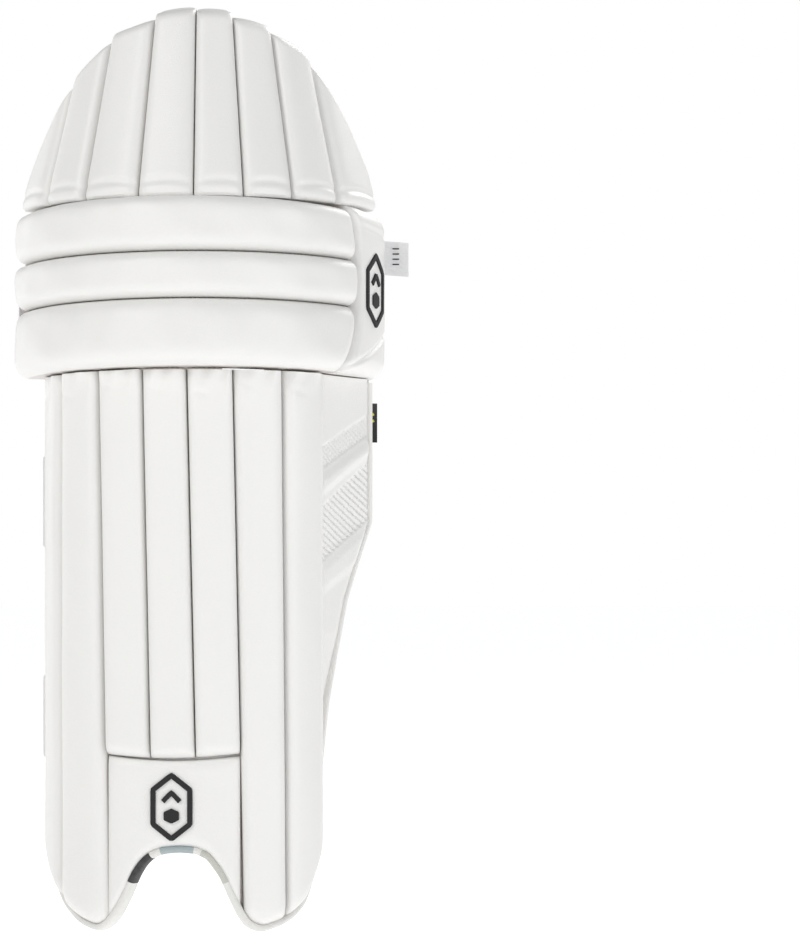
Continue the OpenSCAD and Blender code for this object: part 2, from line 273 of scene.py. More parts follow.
def striped(name, stripes, rough=0.75, twill=True, sheen=0.2):
    """Bands of colour across the width: v runs 0 to 1 from the top edge to the bottom edge."""
    g = Graph(name, rough, Sheen_Weight=sheen)
    u, v = g.uv()
    bands = g.bands(v, stripes)
    fuzz = g.noise(500, 3)
    if twill:
        shade = g.mix(g.times(fuzz, 0.12), bands, rgb(150, 150, 148))
        lines = g.math("SINE", g.times(g.math("ADD", u, g.times(v, 0.06)), 5200))
        g.colour(g.mix(g.math("MULTIPLY_ADD", lines, 0.03, 0.03), shade, rgb(120, 120, 118)))
        g.bump(g.math("ADD", lines, fuzz), 0.0003, 0.6)
    else:
        g.colour(bands)
        g.bump(fuzz, 0.0001, 0.4)
    return g.mat


def segments(name, parts):
    """Bands of colour along a binding: u runs 0 to 1 from one end to the other."""
    g = Graph(name, 0.6)
    g.colour(g.mix(g.times(g.noise(300), 0.2), g.bands(g.uv()[0], parts), rgb(150, 150, 150)))
    g.bump(g.grain(1500), 0.00015, 0.5)
    return g.mat


def moulded(name, base, rough, speck=600, coat=0.0):
    """Moulded plastic or rubber with a faint texture."""
    g = Graph(name, rough, Coat_Weight=coat)
    g.colour(g.mix(g.noise(40), base, darker(base, 0.9)))
    g.roughness(g.math("MULTIPLY_ADD", g.noise(150), 0.2, rough - 0.1))
    g.bump(g.noise(speck, 2), 0.00008, 0.4)
    return g.mat


# The second colour of each leather finish is painted shade for its seams and hollows.
M = {
    "facing": leather("white_facing", rgb(237, 236, 234), rgb(206, 201, 196)),
    "panel": leather("white_smooth_panel", rgb(241, 242, 244), rgb(190, 192, 196), 0.33, 1700, 0.12),
    "ivory": leather("ivory_bolster", rgb(243, 242, 235), rgb(212, 210, 200), 0.5, 1500, 0.0),
    "mesh": spacer_mesh("pink_spacer_mesh", rgb(249, 241, 238), rgb(216, 194, 188), 4.0),
    "khaki": cloth("khaki_gusset", rgb(205, 202, 189), 700),
    "pile": cloth("white_loop_pile", rgb(249, 246, 247), 420, 0.95, 0.94, 0.5),
    "webbing": striped("striped_webbing", STRIPES),
    "tab": striped("striped_tab", TAB_STRIPES, 0.38, False, 0.0),
    "tongue": leather("white_tongue", rgb(246, 246, 246), rgb(205, 205, 205), 0.4, 1500),
    "piping": moulded("grey_piping", rgb(222, 224, 230), 0.4),
    "white_piping": moulded("white_piping", rgb(240, 239, 236), 0.42),
    "black": moulded("black_rubber", BLACK, 0.62, 900),
    "print": moulded("black_print", BLACK, 0.62, 900),
    "ring": moulded("white_ring", rgb(246, 247, 249), 0.22, 300, 0.4),
    "badge": moulded("yellow_badge", rgb(214, 204, 38), 0.4),
    "thread": moulded("white_thread", rgb(226, 224, 220), 0.7),
    "dark_thread": moulded("dark_thread", rgb(50, 48, 50), 0.7),
    "label": cloth("satin_label", rgb(247, 247, 248), 1200, 0.5),
    "card": moulded("black_card", rgb(30, 30, 32), 0.3, 500, 0.3),
    "yellow": moulded("yellow_print", rgb(216, 208, 60), 0.45),
    "print_grey": cloth("grey_green_print", rgb(224, 227, 218), 420, 0.6, 0.95, 0.0),
}

# ---------------- mesh making


def finish_mesh(name, points, faces, uv, mats, face_mats=None, depth=1.0, sharp=38):
    """A mesh from points in millimetres, with its UV map in metres and its 'depth' attribute, a mask of
    painted shade: 0 greys a leather finish in a seam or hollow, 1 leaves it.
    """
    mesh = bpy.data.meshes.new(name)
    mesh.from_pydata((np.asarray(points) * MM).tolist(), [], faces)
    for mat in mats:
        mesh.materials.append(M[mat])
    if face_mats is not None:
        mesh.polygons.foreach_set("material_index", np.asarray(face_mats, np.int32))
    layer = mesh.uv_layers.new(name="UVMap")
    corners = np.zeros(len(mesh.loops), np.int32)
    mesh.loops.foreach_get("vertex_index", corners)
    layer.data.foreach_set("uv", np.asarray(uv, np.float32)[corners].ravel())
    # The 'depth' attribute carries the painted shade of the leather finishes.
    depths = np.full(len(points), depth, np.float32)
    mesh.attributes.new("depth", "FLOAT", "POINT").data.foreach_set("value", depths)
    mesh.polygons.foreach_set("use_smooth", np.ones(len(mesh.polygons), bool))
    mesh.set_sharp_from_angle(angle=math.radians(sharp))
    mesh.validate()
    made = bpy.data.objects.new(name, mesh)
    bpy.context.collection.objects.link(made)
    return made


def pad_piece(name, us, vs, place, front, back, mats="facing", size=(1, 1)):
    """A closed padded piece on a grid of u by v, each a list of places or a number of them from 0
    to 1. place(u, v, t) gives points, t being the height over the surface. front and back give
    the heights, as a number or a function of (u, v), and front may also give a depth from 0 in a
    seam to 1 on the crown, which paints shade into the seams of a leather finish. mats names one
    finish, or those of the front, the back and the sides. size turns u and v into the UV map's
    millimetres."""
    us, vs = (np.linspace(0, 1, places) if isinstance(places, int) else places for places in (us, vs))
    uu, vv = (a.ravel() for a in np.meshgrid(us, vs, indexing="ij"))
    n = len(uu)

    def heights(given):
        return given(uu, vv) if callable(given) else np.full(n, float(given))

    top, depth = heights(front), np.ones(n)
    if isinstance(top, tuple):
        top, depth = top
    points = np.vstack([place(uu, vv, top), place(uu, vv, heights(back))])
    uv = np.tile(np.column_stack([uu * size[0], vv * size[1]]) * MM, (2, 1))
    index = np.arange(n).reshape(len(us), len(vs))
    quads = np.stack([index[:-1, :-1], index[1:, :-1], index[1:, 1:], index[:-1, 1:]], -1).reshape(-1, 4)
    ring = np.concatenate([index[:, 0], index[-1, 1:], index[-2::-1, -1], index[0, -2:0:-1]])
    after = np.roll(ring, -1)
    sides = np.column_stack([after, ring, ring + n, after + n])
    faces = np.vstack([quads, quads[:, ::-1] + n, sides])
    # Turn every face outward: a front face in the middle tells which way t grows.
    middle = quads[len(quads) // 2]
    a, b, c = points[middle[:3]]
    if np.dot(np.cross(b - a, c - a), place(uu, vv, top + 1)[middle[0]] - a) < 0:
        faces = faces[:, ::-1]
    kinds = np.repeat([0, 1, 2], [len(quads), len(quads), len(sides)])
    mats = (mats,) * 3 if isinstance(mats, str) else mats
    return finish_mesh(name, points, faces.tolist(), uv, mats, kinds, np.tile(depth, 2))


def unit(v):
    return v / np.maximum(np.linalg.norm(v, axis=-1, keepdims=True), 1e-9)


def lengths(path):
    """How far along a path each of its points is."""
    return np.concatenate([[0], np.cumsum(np.linalg.norm(np.diff(path, axis=0), axis=1))])


def values_at(at, along, values):
    """Rows of values, known at the distances along, at the distances at."""
    return np.column_stack([np.interp(at, along, column) for column in values.T])


def tube_faces(n, k, closed=False):
    """The faces of a tube of n rings with k points each, with ends unless it is closed."""
    faces = []
    for i in range(n if closed else n - 1):
        j = (i + 1) % n
        for m in range(k):
            p = (m + 1) % k
            faces.append((i * k + m, i * k + p, j * k + p, j * k + m))
    if not closed:
        faces.append(tuple(range(k))[::-1])
        faces.append(tuple((n - 1) * k + m for m in range(k)))
    return faces


def sweep(name, path, section, mat, normals=None, closed=False, whole=False, taper=0.0):
    """A tube along path. section is a list of (sideways, outward) offsets; outward follows
    normals where they are given, and otherwise a frame carried along the path. With whole, the
    UV map's u runs 0 to 1 along it."""
    path = np.asarray(path, float)
    tangent = unit(np.roll(path, -1, 0) - np.roll(path, 1, 0) if closed else np.gradient(path, axis=0))
    if normals is None:
        out = np.zeros_like(path)
        seed = np.array([0, 0, 1.0]) if abs(tangent[0][2]) < 0.9 else np.array([0, 1.0, 0])
        for i, t in enumerate(tangent):
            seed = unit(seed - np.dot(seed, t) * t)
            out[i] = seed
    else:
        out = unit(normals - np.sum(normals * tangent, 1, keepdims=True) * tangent)
    side = np.cross(tangent, out)
    k, n = len(section), len(path)
    along = lengths(path)
    full = np.ones(n)
    if taper:
        full = np.maximum(end_round(np.minimum(along, along[-1] - along), taper), 0.12)
    section = section[None] * full[:, None, None]
    points = path[:, None] + side[:, None] * section[..., :1] + out[:, None] * section[..., 1:]
    u = along / along[-1] if whole else along * MM
    uv = np.column_stack([np.repeat(u, k), np.tile(np.linspace(0, 1, k), n)])
    return finish_mesh(name, points.reshape(-1, 3), tube_faces(n, k, closed), uv, [mat], sharp=50)


def oval(a, b, n=10, power=2.0):
    """A rounded section, a wide by b high in half sizes."""
    turn = np.linspace(0, 2 * math.pi, n, endpoint=False)
    c, s = np.cos(turn), np.sin(turn)
    return np.column_stack([a * np.sign(c) * abs(c) ** (2 / power), b * np.sign(s) * abs(s) ** (2 / power)])


def resample(path, step, closed=False):
    """The same path with points about step apart."""
    path = np.asarray(path, float)
    if closed:
        path = np.vstack([path, path[:1]])
    along = lengths(path)
    count = max(2, int(round(along[-1] / step)))
    at = np.linspace(0, along[-1], count + 1)
    return values_at(at[:-1] if closed else at, along, path)


def stitches(name, path, normals, pitch=3.2, length=2.3, radius=0.32):
    """A row of separate stitches along a path, as one mesh. Each is a bar with pointed ends."""
    path, normals = np.asarray(path, float), np.asarray(normals, float)
    along = lengths(path)
    at = np.arange(pitch / 2, along[-1], pitch)
    out = unit(values_at(at, along, normals))
    go = unit(values_at(at + 0.3, along, path) - values_at(at - 0.3, along, path))
    centre = (values_at(at, along, path) + 0.1 * out)[:, None]
    turn = np.radians([0, 90, 180, 270])[:, None]
    around = (np.cross(go, out)[:, None] * np.cos(turn) + out[:, None] * np.sin(turn)) * radius
    tip, shoulder = (go[:, None] * length * share for share in (0.5, 0.3))
    points = np.concatenate([centre - tip, centre - shoulder + around,
                             centre + shoulder + around, centre + tip], 1)
    one = []
    for m in range(4):
        p = (m + 1) % 4
        one += [(0, 1 + p, 1 + m), (1 + m, 1 + p, 5 + p, 5 + m), (9, 5 + m, 5 + p)]
    faces = [[i * 10 + corner for corner in face] for i in range(len(at)) for face in one]
    uv = np.zeros((len(at) * 10, 2))
    return finish_mesh(name, points.reshape(-1, 3), faces, uv, ["thread"], sharp=80)


def join(name, parts):
    """Several meshes as one object."""
    bpy.ops.object.select_all(action="DESELECT")
    for part in parts:
        part.select_set(True)
    bpy.context.view_layer.objects.active = parts[0]
    bpy.ops.object.join()
    parts[0].name = name
    parts[0].data.name = name
    return parts[0]


def settle(obj, body, nodes=()):
    """Puts a finished piece on its body and hides the CAD nodes that it stands for. With
    the body "flap_blend" its placement is baked into its mesh, and it goes on no body."""
    if body == "flap_blend":
        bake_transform(obj)
    else:
        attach(obj, body)
    if nodes:
        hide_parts(*nodes)


def ease(x):
    x = np.clip(x, 0, 1)
    return x * x * (3 - 2 * x)


def hump(distance, width):
    """A smooth hump, 1 at no distance."""
    return np.exp(-(distance / width) ** 2)


def pillow(u, power=4.0):
    """0 at u = 0 and 1, flat-topped between them."""
    return np.sqrt(np.clip(1 - np.abs(2 * u - 1) ** power, 0, 1))


def end_round(distance, radius):
    """Rounds a roll off towards its end."""
    d = np.clip(distance / radius, 0, 1)
    return np.sqrt(np.clip(1 - (1 - d) ** 2, 0, 1))


def ripple(u, v, seed):
    """A slow unevenness of stuffing, about -1 to 1."""
    return (np.sin(v * 0.021 + seed * 1.7) + np.sin(v * 0.047 + u * 0.11 + seed * 2.9) * 0.6
            + np.sin(u * 0.19 - v * 0.013 + seed * 0.7) * 0.5) / 2.1


def spaced(a, b, step):
    return np.linspace(a, b, max(3, int(round((b - a) / step)) + 1))


def to_side(u, width):
    """How far the place u is from the nearer side of a piece."""
    return np.minimum(u, 1 - u) * width


def soft_ends(n, power=1.6):
    """Places from 0 to 1, closer together near both ends."""
    t = np.linspace(-1, 1, n)
    return 0.5 + 0.5 * np.sign(t) * (1 - (1 - abs(t)) ** power)


# A piece's place(u, v, t) is laid on a surface(across, height, t) by two functions: across(u,
# height) says how far round it is, and up(u, v) how high.
def laid(surface, across, up):
    def place(u, v, t):
        height = up(u, v)
        return surface(across(u, height), height, t)
    return place


def as_given(u, height):
    return u


def between(a, b):
    return lambda u, height: a + (b - a) * u


def rising(low, high):
    """up(u, v), from the lower edge low(u) at v = 0 to the upper edge high(u) at v = 1."""
    return lambda u, v: low(u) + (high(u) - low(u)) * v


def level(value):
    return lambda u: value + 0 * u


def edges(up, u, v):
    """The height at (u, v), and how far that is from the lower and the upper edge."""
    height = up(u, v)
    return height, height - up(u, v * 0), up(u, v * 0 + 1) - height


def on_surface(surface, line, t):
    """The points of a flat line laid on a surface, t over its face, and the way out at each."""
    x, z = np.asarray(line, float).T
    points = surface(x, z, np.full(len(x), t))
    return points, surface(x, z, np.full(len(x), t + 1)) - points


def sewn(name, surface, line, t, *sizes):
    """A row of stitches along a flat line laid on a surface."""
    return stitches(name, *on_surface(surface, line, t), *sizes)


# ---------------- the shin's surface
SEG_W = [34, 36, 33.5, 32.8, 33, 34, 33, 62]
SEG_H = [88, 58, 27, 13, 3, -9, -27, -55, -44]
SEAM_S = np.concatenate([[0], np.cumsum(SEG_W)])
_s = np.linspace(-30, 330, 1441)
_h = np.radians(np.interp(_s, SEAM_S, SEG_H))
_step = np.diff(_s)
_mid = (_h[1:] + _h[:-1]) / 2
_x = np.concatenate([[0], np.cumsum(_step * np.cos(_mid))])
_y = np.concatenate([[0], np.cumsum(-_step * np.sin(_mid))])
_x += -89.4 - np.interp(0, _s, _x)
_y += -5.2 - np.interp(0, _s, _y)
BOARD_T, LINING_T, STITCH_T, BULGE = 5, 3, 4.2, 15.0
EDGE_T = 12.5       # over the board, where the lower edge's shape is seen


def shin(s, z, t):
    """The point s along the board's outline at height z, t out from the board's face."""
    h = np.interp(s, _s, _h)
    return np.column_stack([np.interp(s, _s, _x) - t * np.sin(h), np.interp(s, _s, _y) - t * np.cos(h), z])


def shin_x(s, t):
    return np.interp(s, _s, _x) - t * np.sin(np.interp(s, _s, _h))


def edge_x(s):
    """Where a place round the pad is seen from the front."""
    return shin_x(s, EDGE_T)


def s_of_x(x, t):
    return np.interp(x, shin_x(_s, t), _s)


def shin_out(s):
    h = np.interp(s, _s, _h)
    return np.column_stack([-np.sin(h), -np.cos(h), np.zeros_like(h)])


# Places across the pad and heights of its lower edge there
LOWER_X = (-108, -103, -101, -98, -91.5, -84, -77, -65, -57, -50, -42, -36, -29, -21, -12, 1, 14, 24, 35, 42,
           49, 56, 65, 80, 90, 98, 103, 107, 112)
LOWER_Z = (80, 64, 46, 33, 19, 10.5, 4.5, 0, 3.5, 12, 26, 40, 50, 56.5, 59.5, 60.5, 59.5, 55, 41, 26,
           12.5, 3.5, 0, 4.5, 10.5, 19, 33, 46, 64)


def lower_edge(x):
    """Height of the pad's lower edge: round lobes with an arch between them."""
    near = [np.interp(np.asarray(x, float) + shift, LOWER_X, LOWER_Z) for shift in (-3, -1.5, 0, 1.5, 3)]
    return np.average(near, axis=0, weights=(1, 2, 3, 2, 1))


def shin_low(s, over):
    return lower_edge(edge_x(s)) + over


def seam_s(k, z):
    """The seams lean a little: each is further round towards the foot."""
    lean = {2: 0.018, 3: 0.02, 4: 0.022, 5: 0.02, 6: 0.008}.get(k, 0.0)
    return SEAM_S[k] + lean * (280 - z)


LEAN = math.radians(5)
FRONT_Y, KNEE_Z = -111.0, 427.0


def shin_top(s):
    """Where the leaning underside of the knee section meets the shin."""
    y = shin(s, 0 * s, 6.0)[:, 1]
    return KNEE_Z - (y - FRONT_Y) * math.tan(LEAN)


INSTEP_TOP = 133
SEAM_Z = 60.0      # where the leaning seams are measured for a roll's two ends


def make_shin_roll(k):
    node = f"shin_roll_{k}"
    middle = 3 <= k <= 5

    def across(u, z):
        return seam_s(k - 1, z) + 0.15 + (seam_s(k, z) - seam_s(k - 1, z) - 0.3) * u

    def low_end(u):
        s = across(u, SEAM_Z)
        arch = INSTEP_TOP + 1.2 - 3 * np.sin(np.pi * (s - SEAM_S[2]) / 99)
        return arch if middle else shin_low(s, 4.5)

    up = rising(low_end, lambda u: shin_top(across(u, SEAM_Z)) - 0.6)

    def front(u, v):
        z, low, top = edges(up, u, v)
        roll = pillow(u, 6.5) * (0.25 + 0.75 * end_round(low, 9 if middle else 13))
        bulge = BULGE - STITCH_T + 0.5 * ripple(u * 34, z, k)
        pucker = 1.1 * np.exp(-top / 11) * np.sin(u * 15 + k * 2.3 + top * 0.12) * pillow(u)
        crease = hump(top - 9 - 9 * u - k % 3 * 3, 2.2) * hump(u - 0.25, 0.22)
        t = STITCH_T + bulge * roll + pucker - 0.8 * crease
        free = (k == 1) & (u < 0.5)
        t = np.where(free, np.maximum(t, STITCH_T + 5 * end_round(low, 13)), t)
        # The second value is painted shade: the colour darkens towards the seams, except on the free side of
        # the first roll.
        return t, np.where(free, 1, np.clip(roll * 2.0, 0, 1))

    parts = (0, 0.09, 14), (0.09, 0.9, 52), (0.9, 1, 22)
    rows = np.unique(np.concatenate([np.linspace(*part) for part in parts]))
    roll = pad_piece(node, soft_ends(25), rows, laid(shin, across, up), front, 0.1, size=(34, 400))
    settle(roll, "pad", [node])


def make_instep():
    across = between(SEAM_S[2] + 3.2, SEAM_S[5] + 3.2)
    up = rising(lambda u: shin_low(across(u, 0), 4.5), lambda u: INSTEP_TOP - 3.5 * np.sin(np.pi * u) - 0.3)

    def front(u, v):
        z, low, top = edges(up, u, v)
        roll = pillow(u, 12) * (0.2 + 0.8 * end_round(np.minimum(low, top), 9))
        # The second value is painted shade: the colour darkens towards the panel's seams.
        return STITCH_T + (10.4 - STITCH_T) * roll + 0.25 * ripple(u * 100, z, 9), np.clip(roll * 1.2, 0, 1)

    panel = pad_piece("instep_panel", soft_ends(70, 1.3), soft_ends(40, 1.5), laid(shin, across, up), front,
                      0.1, size=(100, 70))
    settle(panel, "pad", ["instep_panel"])


def make_binding():
    """The folded binding of the lower edge, from one side of the pad to the other."""
    x = np.linspace(-103, 110, 200)
    path = resample(np.column_stack([s_of_x(x, EDGE_T), lower_edge(x) + 2.2]), 2.2)
    s, z = path[path[:, 0] > -1.5].T
    white, grey = rgb(228, 227, 224), rgb(166, 178, 181)
    changes = [(-38, BLACK), (-22, white), (-14, grey), (11, white), (17, rgb(196, 196, 188)), (37, white)]
    share = np.linspace(0, 1, len(s))
    bands = [(float(np.interp(at, edge_x(s), share)), colour) for at, colour in changes]
    M["binding"] = segments("striped_binding", [(0.0, white)] + bands)
    out = shin_out(s)
    binding = sweep("edge_binding", shin(s, z, 0.6), oval(3.0, 8.6, 16, 2.6), "binding", out, whole=True)
    settle(binding, "pad", ["instep_binding"])
    settle(stitches("binding_stitches", shin(s, z + 3.6, 6.4), out, 3.0, 2.0, 0.3), "pad")


def make_shin_board():
    """The dense board shows only at its edges, under the lining."""
    up = rising(lambda s: shin_low(s, 3), lambda s: shin_top(s) - 1)
    board = pad_piece("shin_board_foam", spaced(0.5, SEAM_S[7] - 0.5, 5), 40, laid(shin, as_given, up), 0,
                      -BOARD_T + 0.1, "pile", (1, 400))
    settle(board, "pad", ["shin_board"])


def make_shin_lining():
    """Mesh lining of the leg side, softly padded along the pad's inner rim."""
    up = rising(lambda s: shin_low(s, 2.2), lambda s: shin_top(s) - 1)

    def front(s, v):
        z, low, top = edges(up, s, v)
        rim = 2.6 * np.sqrt(np.clip(1 - ((s - 7) / 11) ** 2, 0, 1))
        middle = 5.0 * pillow(np.clip((s - 92) / 68, 0, 1), 3) * ease((low - 3) / 22) * ease((150 - z) / 30)
        return -BOARD_T - LINING_T * end_round(low, 6) - rim * end_round(low, 10) - middle

    lining = pad_piece("shin_lining_mesh", spaced(-3.5, SEAM_S[7] + 1, 3), 120, laid(shin, as_given, up),
                       front, -BOARD_T + 0.1, "mesh", (1, 415))
    settle(lining, "pad", ["shin_lining"])


def make_inner_rim():
    """The rim that wraps the inner edge, from the lining to the first roll's seam."""
    z = spaced(70, 418, 3)

    def along(s, t):
        return shin(s + 0 * z, z, t)

    rim = sweep("inner_rim", along(-2.4, 3.0), oval(10.5, 3.4, 18, 2.5), "mesh",
                along(-3.4, 3.0) - along(-2.4, 3.0), taper=12)
    settle(rim, "pad")
    settle(sweep("inner_rim_piping", along(-4.0, 12.4), oval(1.5, 1.5), "white_piping"), "pad")
    row = stitches("inner_rim_stitches", along(-6.0, 9.0), along(-7.0, 9.0) - along(-6.0, 9.0))
    settle(row, "pad")


# ---------------- the calf wing
WING_Y = ([105, 170, 250, 312, 440], [-44, -35, -17, 4, 4])    # heights, and how far back it reaches
WING_S, WING_SPAN, WING_LOW = SEAM_S[7] + 0.4, 61, 108.0


def wing_width(z):
    """How far round the wing reaches from the last roll, at a height."""
    rear = (_s >= 230) & (_s <= 320)
    reach = np.interp(np.interp(z, *WING_Y), _y[rear], _s[rear])
    return np.maximum(np.minimum(reach, 297.5), WING_S + 1.5) - WING_S


def make_wing():
    inner_top, outer_top = shin_top(np.array([WING_S, 291.0])) - 0.6
    up = rising(level(WING_LOW), lambda u: inner_top + (outer_top - inner_top) * u)
    place = laid(shin, lambda u, z: WING_S + wing_width(z) * u, up)

    def front(u, v):
        z = up(u, v)
        width = wing_width(z)
        s = WING_S + width * u
        w = (s - WING_S) / WING_SPAN
        edge = to_side(u, width)
        body = 0.15 + 0.85 * end_round(edge, 8)
        inside = ease(edge / 4)

        def band(low, high, soft=2.2):
            return ease((z - low) / soft) * ease((high - z) / soft) * inside

        first = band(346 + 29 * w, 366 + 27 * w)
        second = band(276 + 35 * w, 320 + 37 * w)
        swell = band(325 + 32 * w, 346 + 29 * w, 9) + band(250 + 30 * w, 277 + 34 * w, 10) * 0.6
        hatch = np.sin((s * 0.9 + z * 0.35) * 1.9) * np.sin((z - 0.5 * s) * 0.9)
        ribs = np.sin((z + 0.62 * s) * 2 * np.pi / 5.2) + 0.35 * np.sin((s - 0.4 * z) * 2 * np.pi / 4.0)
        t = 1.2 + 7.0 * body * np.clip(width / 26, 0.25, 1)
        t += 2.4 * swell - 1.2 * first - 1.2 * second + 0.8 * first * hatch + 0.75 * second * ribs
        # Painted shade: the colour darkens in the grooves of the hatched and ribbed bands, and towards the
        # wing's edges.
        groove_shade = 1 - 0.35 * first * (hatch < -0.2) - 0.35 * second * (ribs < -0.4)
        return t, np.clip(body * 1.3, 0, 1) * groove_shade

    wing = pad_piece("calf_wing", 46, 290, place, front, -4.6, size=(WING_SPAN, 310))
    settle(wing, "pad", ["calf_wing", "wing_foam"])

    def leg_side(u, v):
        width = wing_width(up(u, v))
        edge = np.minimum(u * width + 4, width - u * width)
        return -5.0 - 3.0 * end_round(edge, 5) - 3.0 * pillow(u, 2) * np.clip(width / 40, 0, 1)

    lining = pad_piece("wing_lining_mesh", 20, 80, place, leg_side, -4.8, "mesh", (55, 310))
    settle(lining, "pad", ["wing_lining"])
    # Bound rear edge of the wing, and of the last roll below it
    z = spaced(60, 415, 4)
    s = WING_S + np.where(z < WING_LOW, -0.4, wing_width(z))
    binding = sweep("wing_binding", shin(s + 0.8, z, 0.4), oval(7.4, 2.4, 16, 2.6), "white_piping",
                    shin(s + 2, z, 0) - shin(s, z, 0))
    settle(binding, "pad")


# ---------------- the knee and thigh surfaces
KNEE_C = (14.0, 37.0)       # the knee's axis in plan
KNEE_R, KNEE_IN = 148.0, 122.5      # the rolls' crowns and their backs, from that axis
KNEE_A = (-75, 79.5)        # the knee's two sides, in degrees
KNEE_ROLL = 320             # length of a knee roll
SEAMS_H = [427.4, 479.0, 514.5, 557.0]
PANEL_LOW = 427.6


def leaned(x, y, h):
    """From the knee's own upright frame into the pad's frame."""
    dy, dz = y - FRONT_Y, h - KNEE_Z
    return np.column_stack([x, FRONT_Y + dy * math.cos(LEAN) + dz * math.sin(LEAN),
                            KNEE_Z - dy * math.sin(LEAN) + dz * math.cos(LEAN)])


def knee(a, h, r):
    """The point at angle a in degrees from the front, height h and radius r."""
    turn = np.radians(a)
    return leaned(KNEE_C[0] + r * np.sin(turn), KNEE_C[1] - r * np.cos(turn), h)


def knee_out(a):
    turn = np.radians(a)
    return leaned(np.sin(turn), FRONT_Y - np.cos(turn), KNEE_Z) - np.array([0, FRONT_Y, KNEE_Z])


def side_seam(h):
    """Angle of the curved seam between the knee rolls and the side panel."""
    return 57.7 - 7.0 * ((h - 500) / 70) ** 2


def make_knee_roll(k, node):
    h0, h1 = SEAMS_H[k], SEAMS_H[k + 1]
    drop = 4.0 if k == 2 else 0.0
    up = rising(level(h0 + 0.25), lambda u: h1 - 0.25 - drop * np.abs(2 * u - 1) ** 2)

    def across(u, h):
        return KNEE_A[0] + (side_seam(h) - 0.3 - KNEE_A[0]) * u

    def front(u, v):
        left, right = end_round(u * KNEE_ROLL, 9), end_round((1 - u) * KNEE_ROLL, 9)
        body = pillow(v, 4.2)
        roll = body * (0.62 + 0.38 * left) * (0.42 + 0.58 * right)
        slack = 1.0 * ripple(u * KNEE_ROLL, up(u, v) * 3, k + 3)
        tug = 0.5 * np.exp(-((1 - v) / 0.16)) * np.sin(u * 55 + k) * (1 if k == 2 else 0.35)
        gather = 0.9 * np.exp(-(v / 0.12)) * np.sin(u * 61 + 1.3) if k == 0 else 0
        seam = KNEE_IN + 12.5
        # The second value is painted shade: the colour darkens towards the seams.
        return seam + (KNEE_R - seam) * roll + (slack + tug + gather) * body, np.clip(roll * 1.9, 0, 1)

    piece = pad_piece(node, 150, soft_ends(30), laid(knee, across, up), front, KNEE_IN,
                      size=(KNEE_ROLL, h1 - h0))
    settle(piece, "pad", [node])
    # Stitched line in the seam under the roll
    if k > 0:
        u = np.linspace(0.03, 0.97, 120)
        h = up(u, 0 * u)
        a = across(u, h)
        row = stitches(node + "_stitches", knee(a, h, 134.8), knee_out(a), 3.4, 2.4, 0.3)
        settle(row, "pad")


def make_side_panel():
    up = rising(level(PANEL_LOW), lambda u: 552 + 5 * (1 - u))

    def across(u, h):
        return side_seam(h) + 0.2 + (KNEE_A[1] - side_seam(h) - 0.2) * u

    def front(u, v):
        h, low, top = edges(up, u, v)
        ends = (0.25 + 0.75 * end_round(u * 70, 9)) * (0.35 + 0.65 * end_round((1 - u) * 70, 14))
        roll = ends * (0.3 + 0.7 * end_round(np.minimum(low, top), 14))
        fold = h - (430 + 36 * u)
        creases = 2.2 * hump(fold, 2.2) + 1.2 * hump(h - 541 + 5 * u, 2.5) * ease(u * 3)
        seam = KNEE_IN + 8
        t = seam + (KNEE_R - 1.6 - seam) * roll - creases * pillow(u, 6)
        # The second value is painted shade: the colour darkens towards the panel's edges and in the fold
        # across it.
        return t, np.clip(roll * 1.25, 0, 1) * (1 - 0.5 * hump(fold, 1.3) * pillow(u, 6))

    piece = pad_piece("knee_side_panel", 48, 90, laid(knee, across, up), front, KNEE_IN, size=(75, 126))
    settle(piece, "pad", ["knee_side_panel"])


def make_knee_board():
    board = pad_piece("knee_board_lining", spaced(*KNEE_A, 3), spaced(PANEL_LOW, 556, 6), knee, 117.9, 122.3,
                      "mesh", (2.1, 1))
    settle(board, "pad", ["knee_board"])
    h = spaced(431, 551, 3)
    for name, a, beyond in (("knee_inner_rim", -75.6, -1), ("knee_outer_rim", 80.0, 1)):
        path = knee(a, h, 127.5 + 0 * h)
        out = knee(a + beyond, h, 127.5 + 0 * h) - path
        settle(sweep(name, path, oval(10.5, 2.6, 18, 2.6), "mesh", out, taper=9), "pad")


# ---------------- the thigh flap
THIGH_R, TAPER, BASE_H = 142.0, 0.255, 557.9
# Angles of the seams between the rolls
THIGH_A = [-75, -56, -38.3, -18.8, -0.8, 15.2, 31.8, 50, 74]
# Heights of each roll's top at its two seams, in the pad's frame
THIGH_TOPS = [(562, 646), (649, 677), (682, 692), (697, 700.5), (699, 698), (693, 688), (683, 667),
              (661, 573)]


def thigh_r(h):
    return THIGH_R - TAPER * (h - BASE_H)


def thigh(a, h, t):
    """t is the height over the flap's outer surface."""
    return knee(a, h, thigh_r(h) + t)


def local_height(a, z):
    """The height in the knee's frame of a point of the flap at height z in the pad's frame."""
    h = z + 6.0
    for _ in range(4):
        y = KNEE_C[1] - thigh_r(h) * np.cos(np.radians(a))
        h = KNEE_Z + (z - KNEE_Z + (y - FRONT_Y) * math.sin(LEAN)) / math.cos(LEAN)
    return h


def roll_top(k, u):
    z0, z1 = THIGH_TOPS[k - 1]
    a = THIGH_A[k - 1] + (THIGH_A[k] - THIGH_A[k - 1]) * u
    bow = 8.0 if k in (1, 8) else 0.8
    return local_height(a, z0 + (z1 - z0) * u + bow * np.sin(np.pi * u))


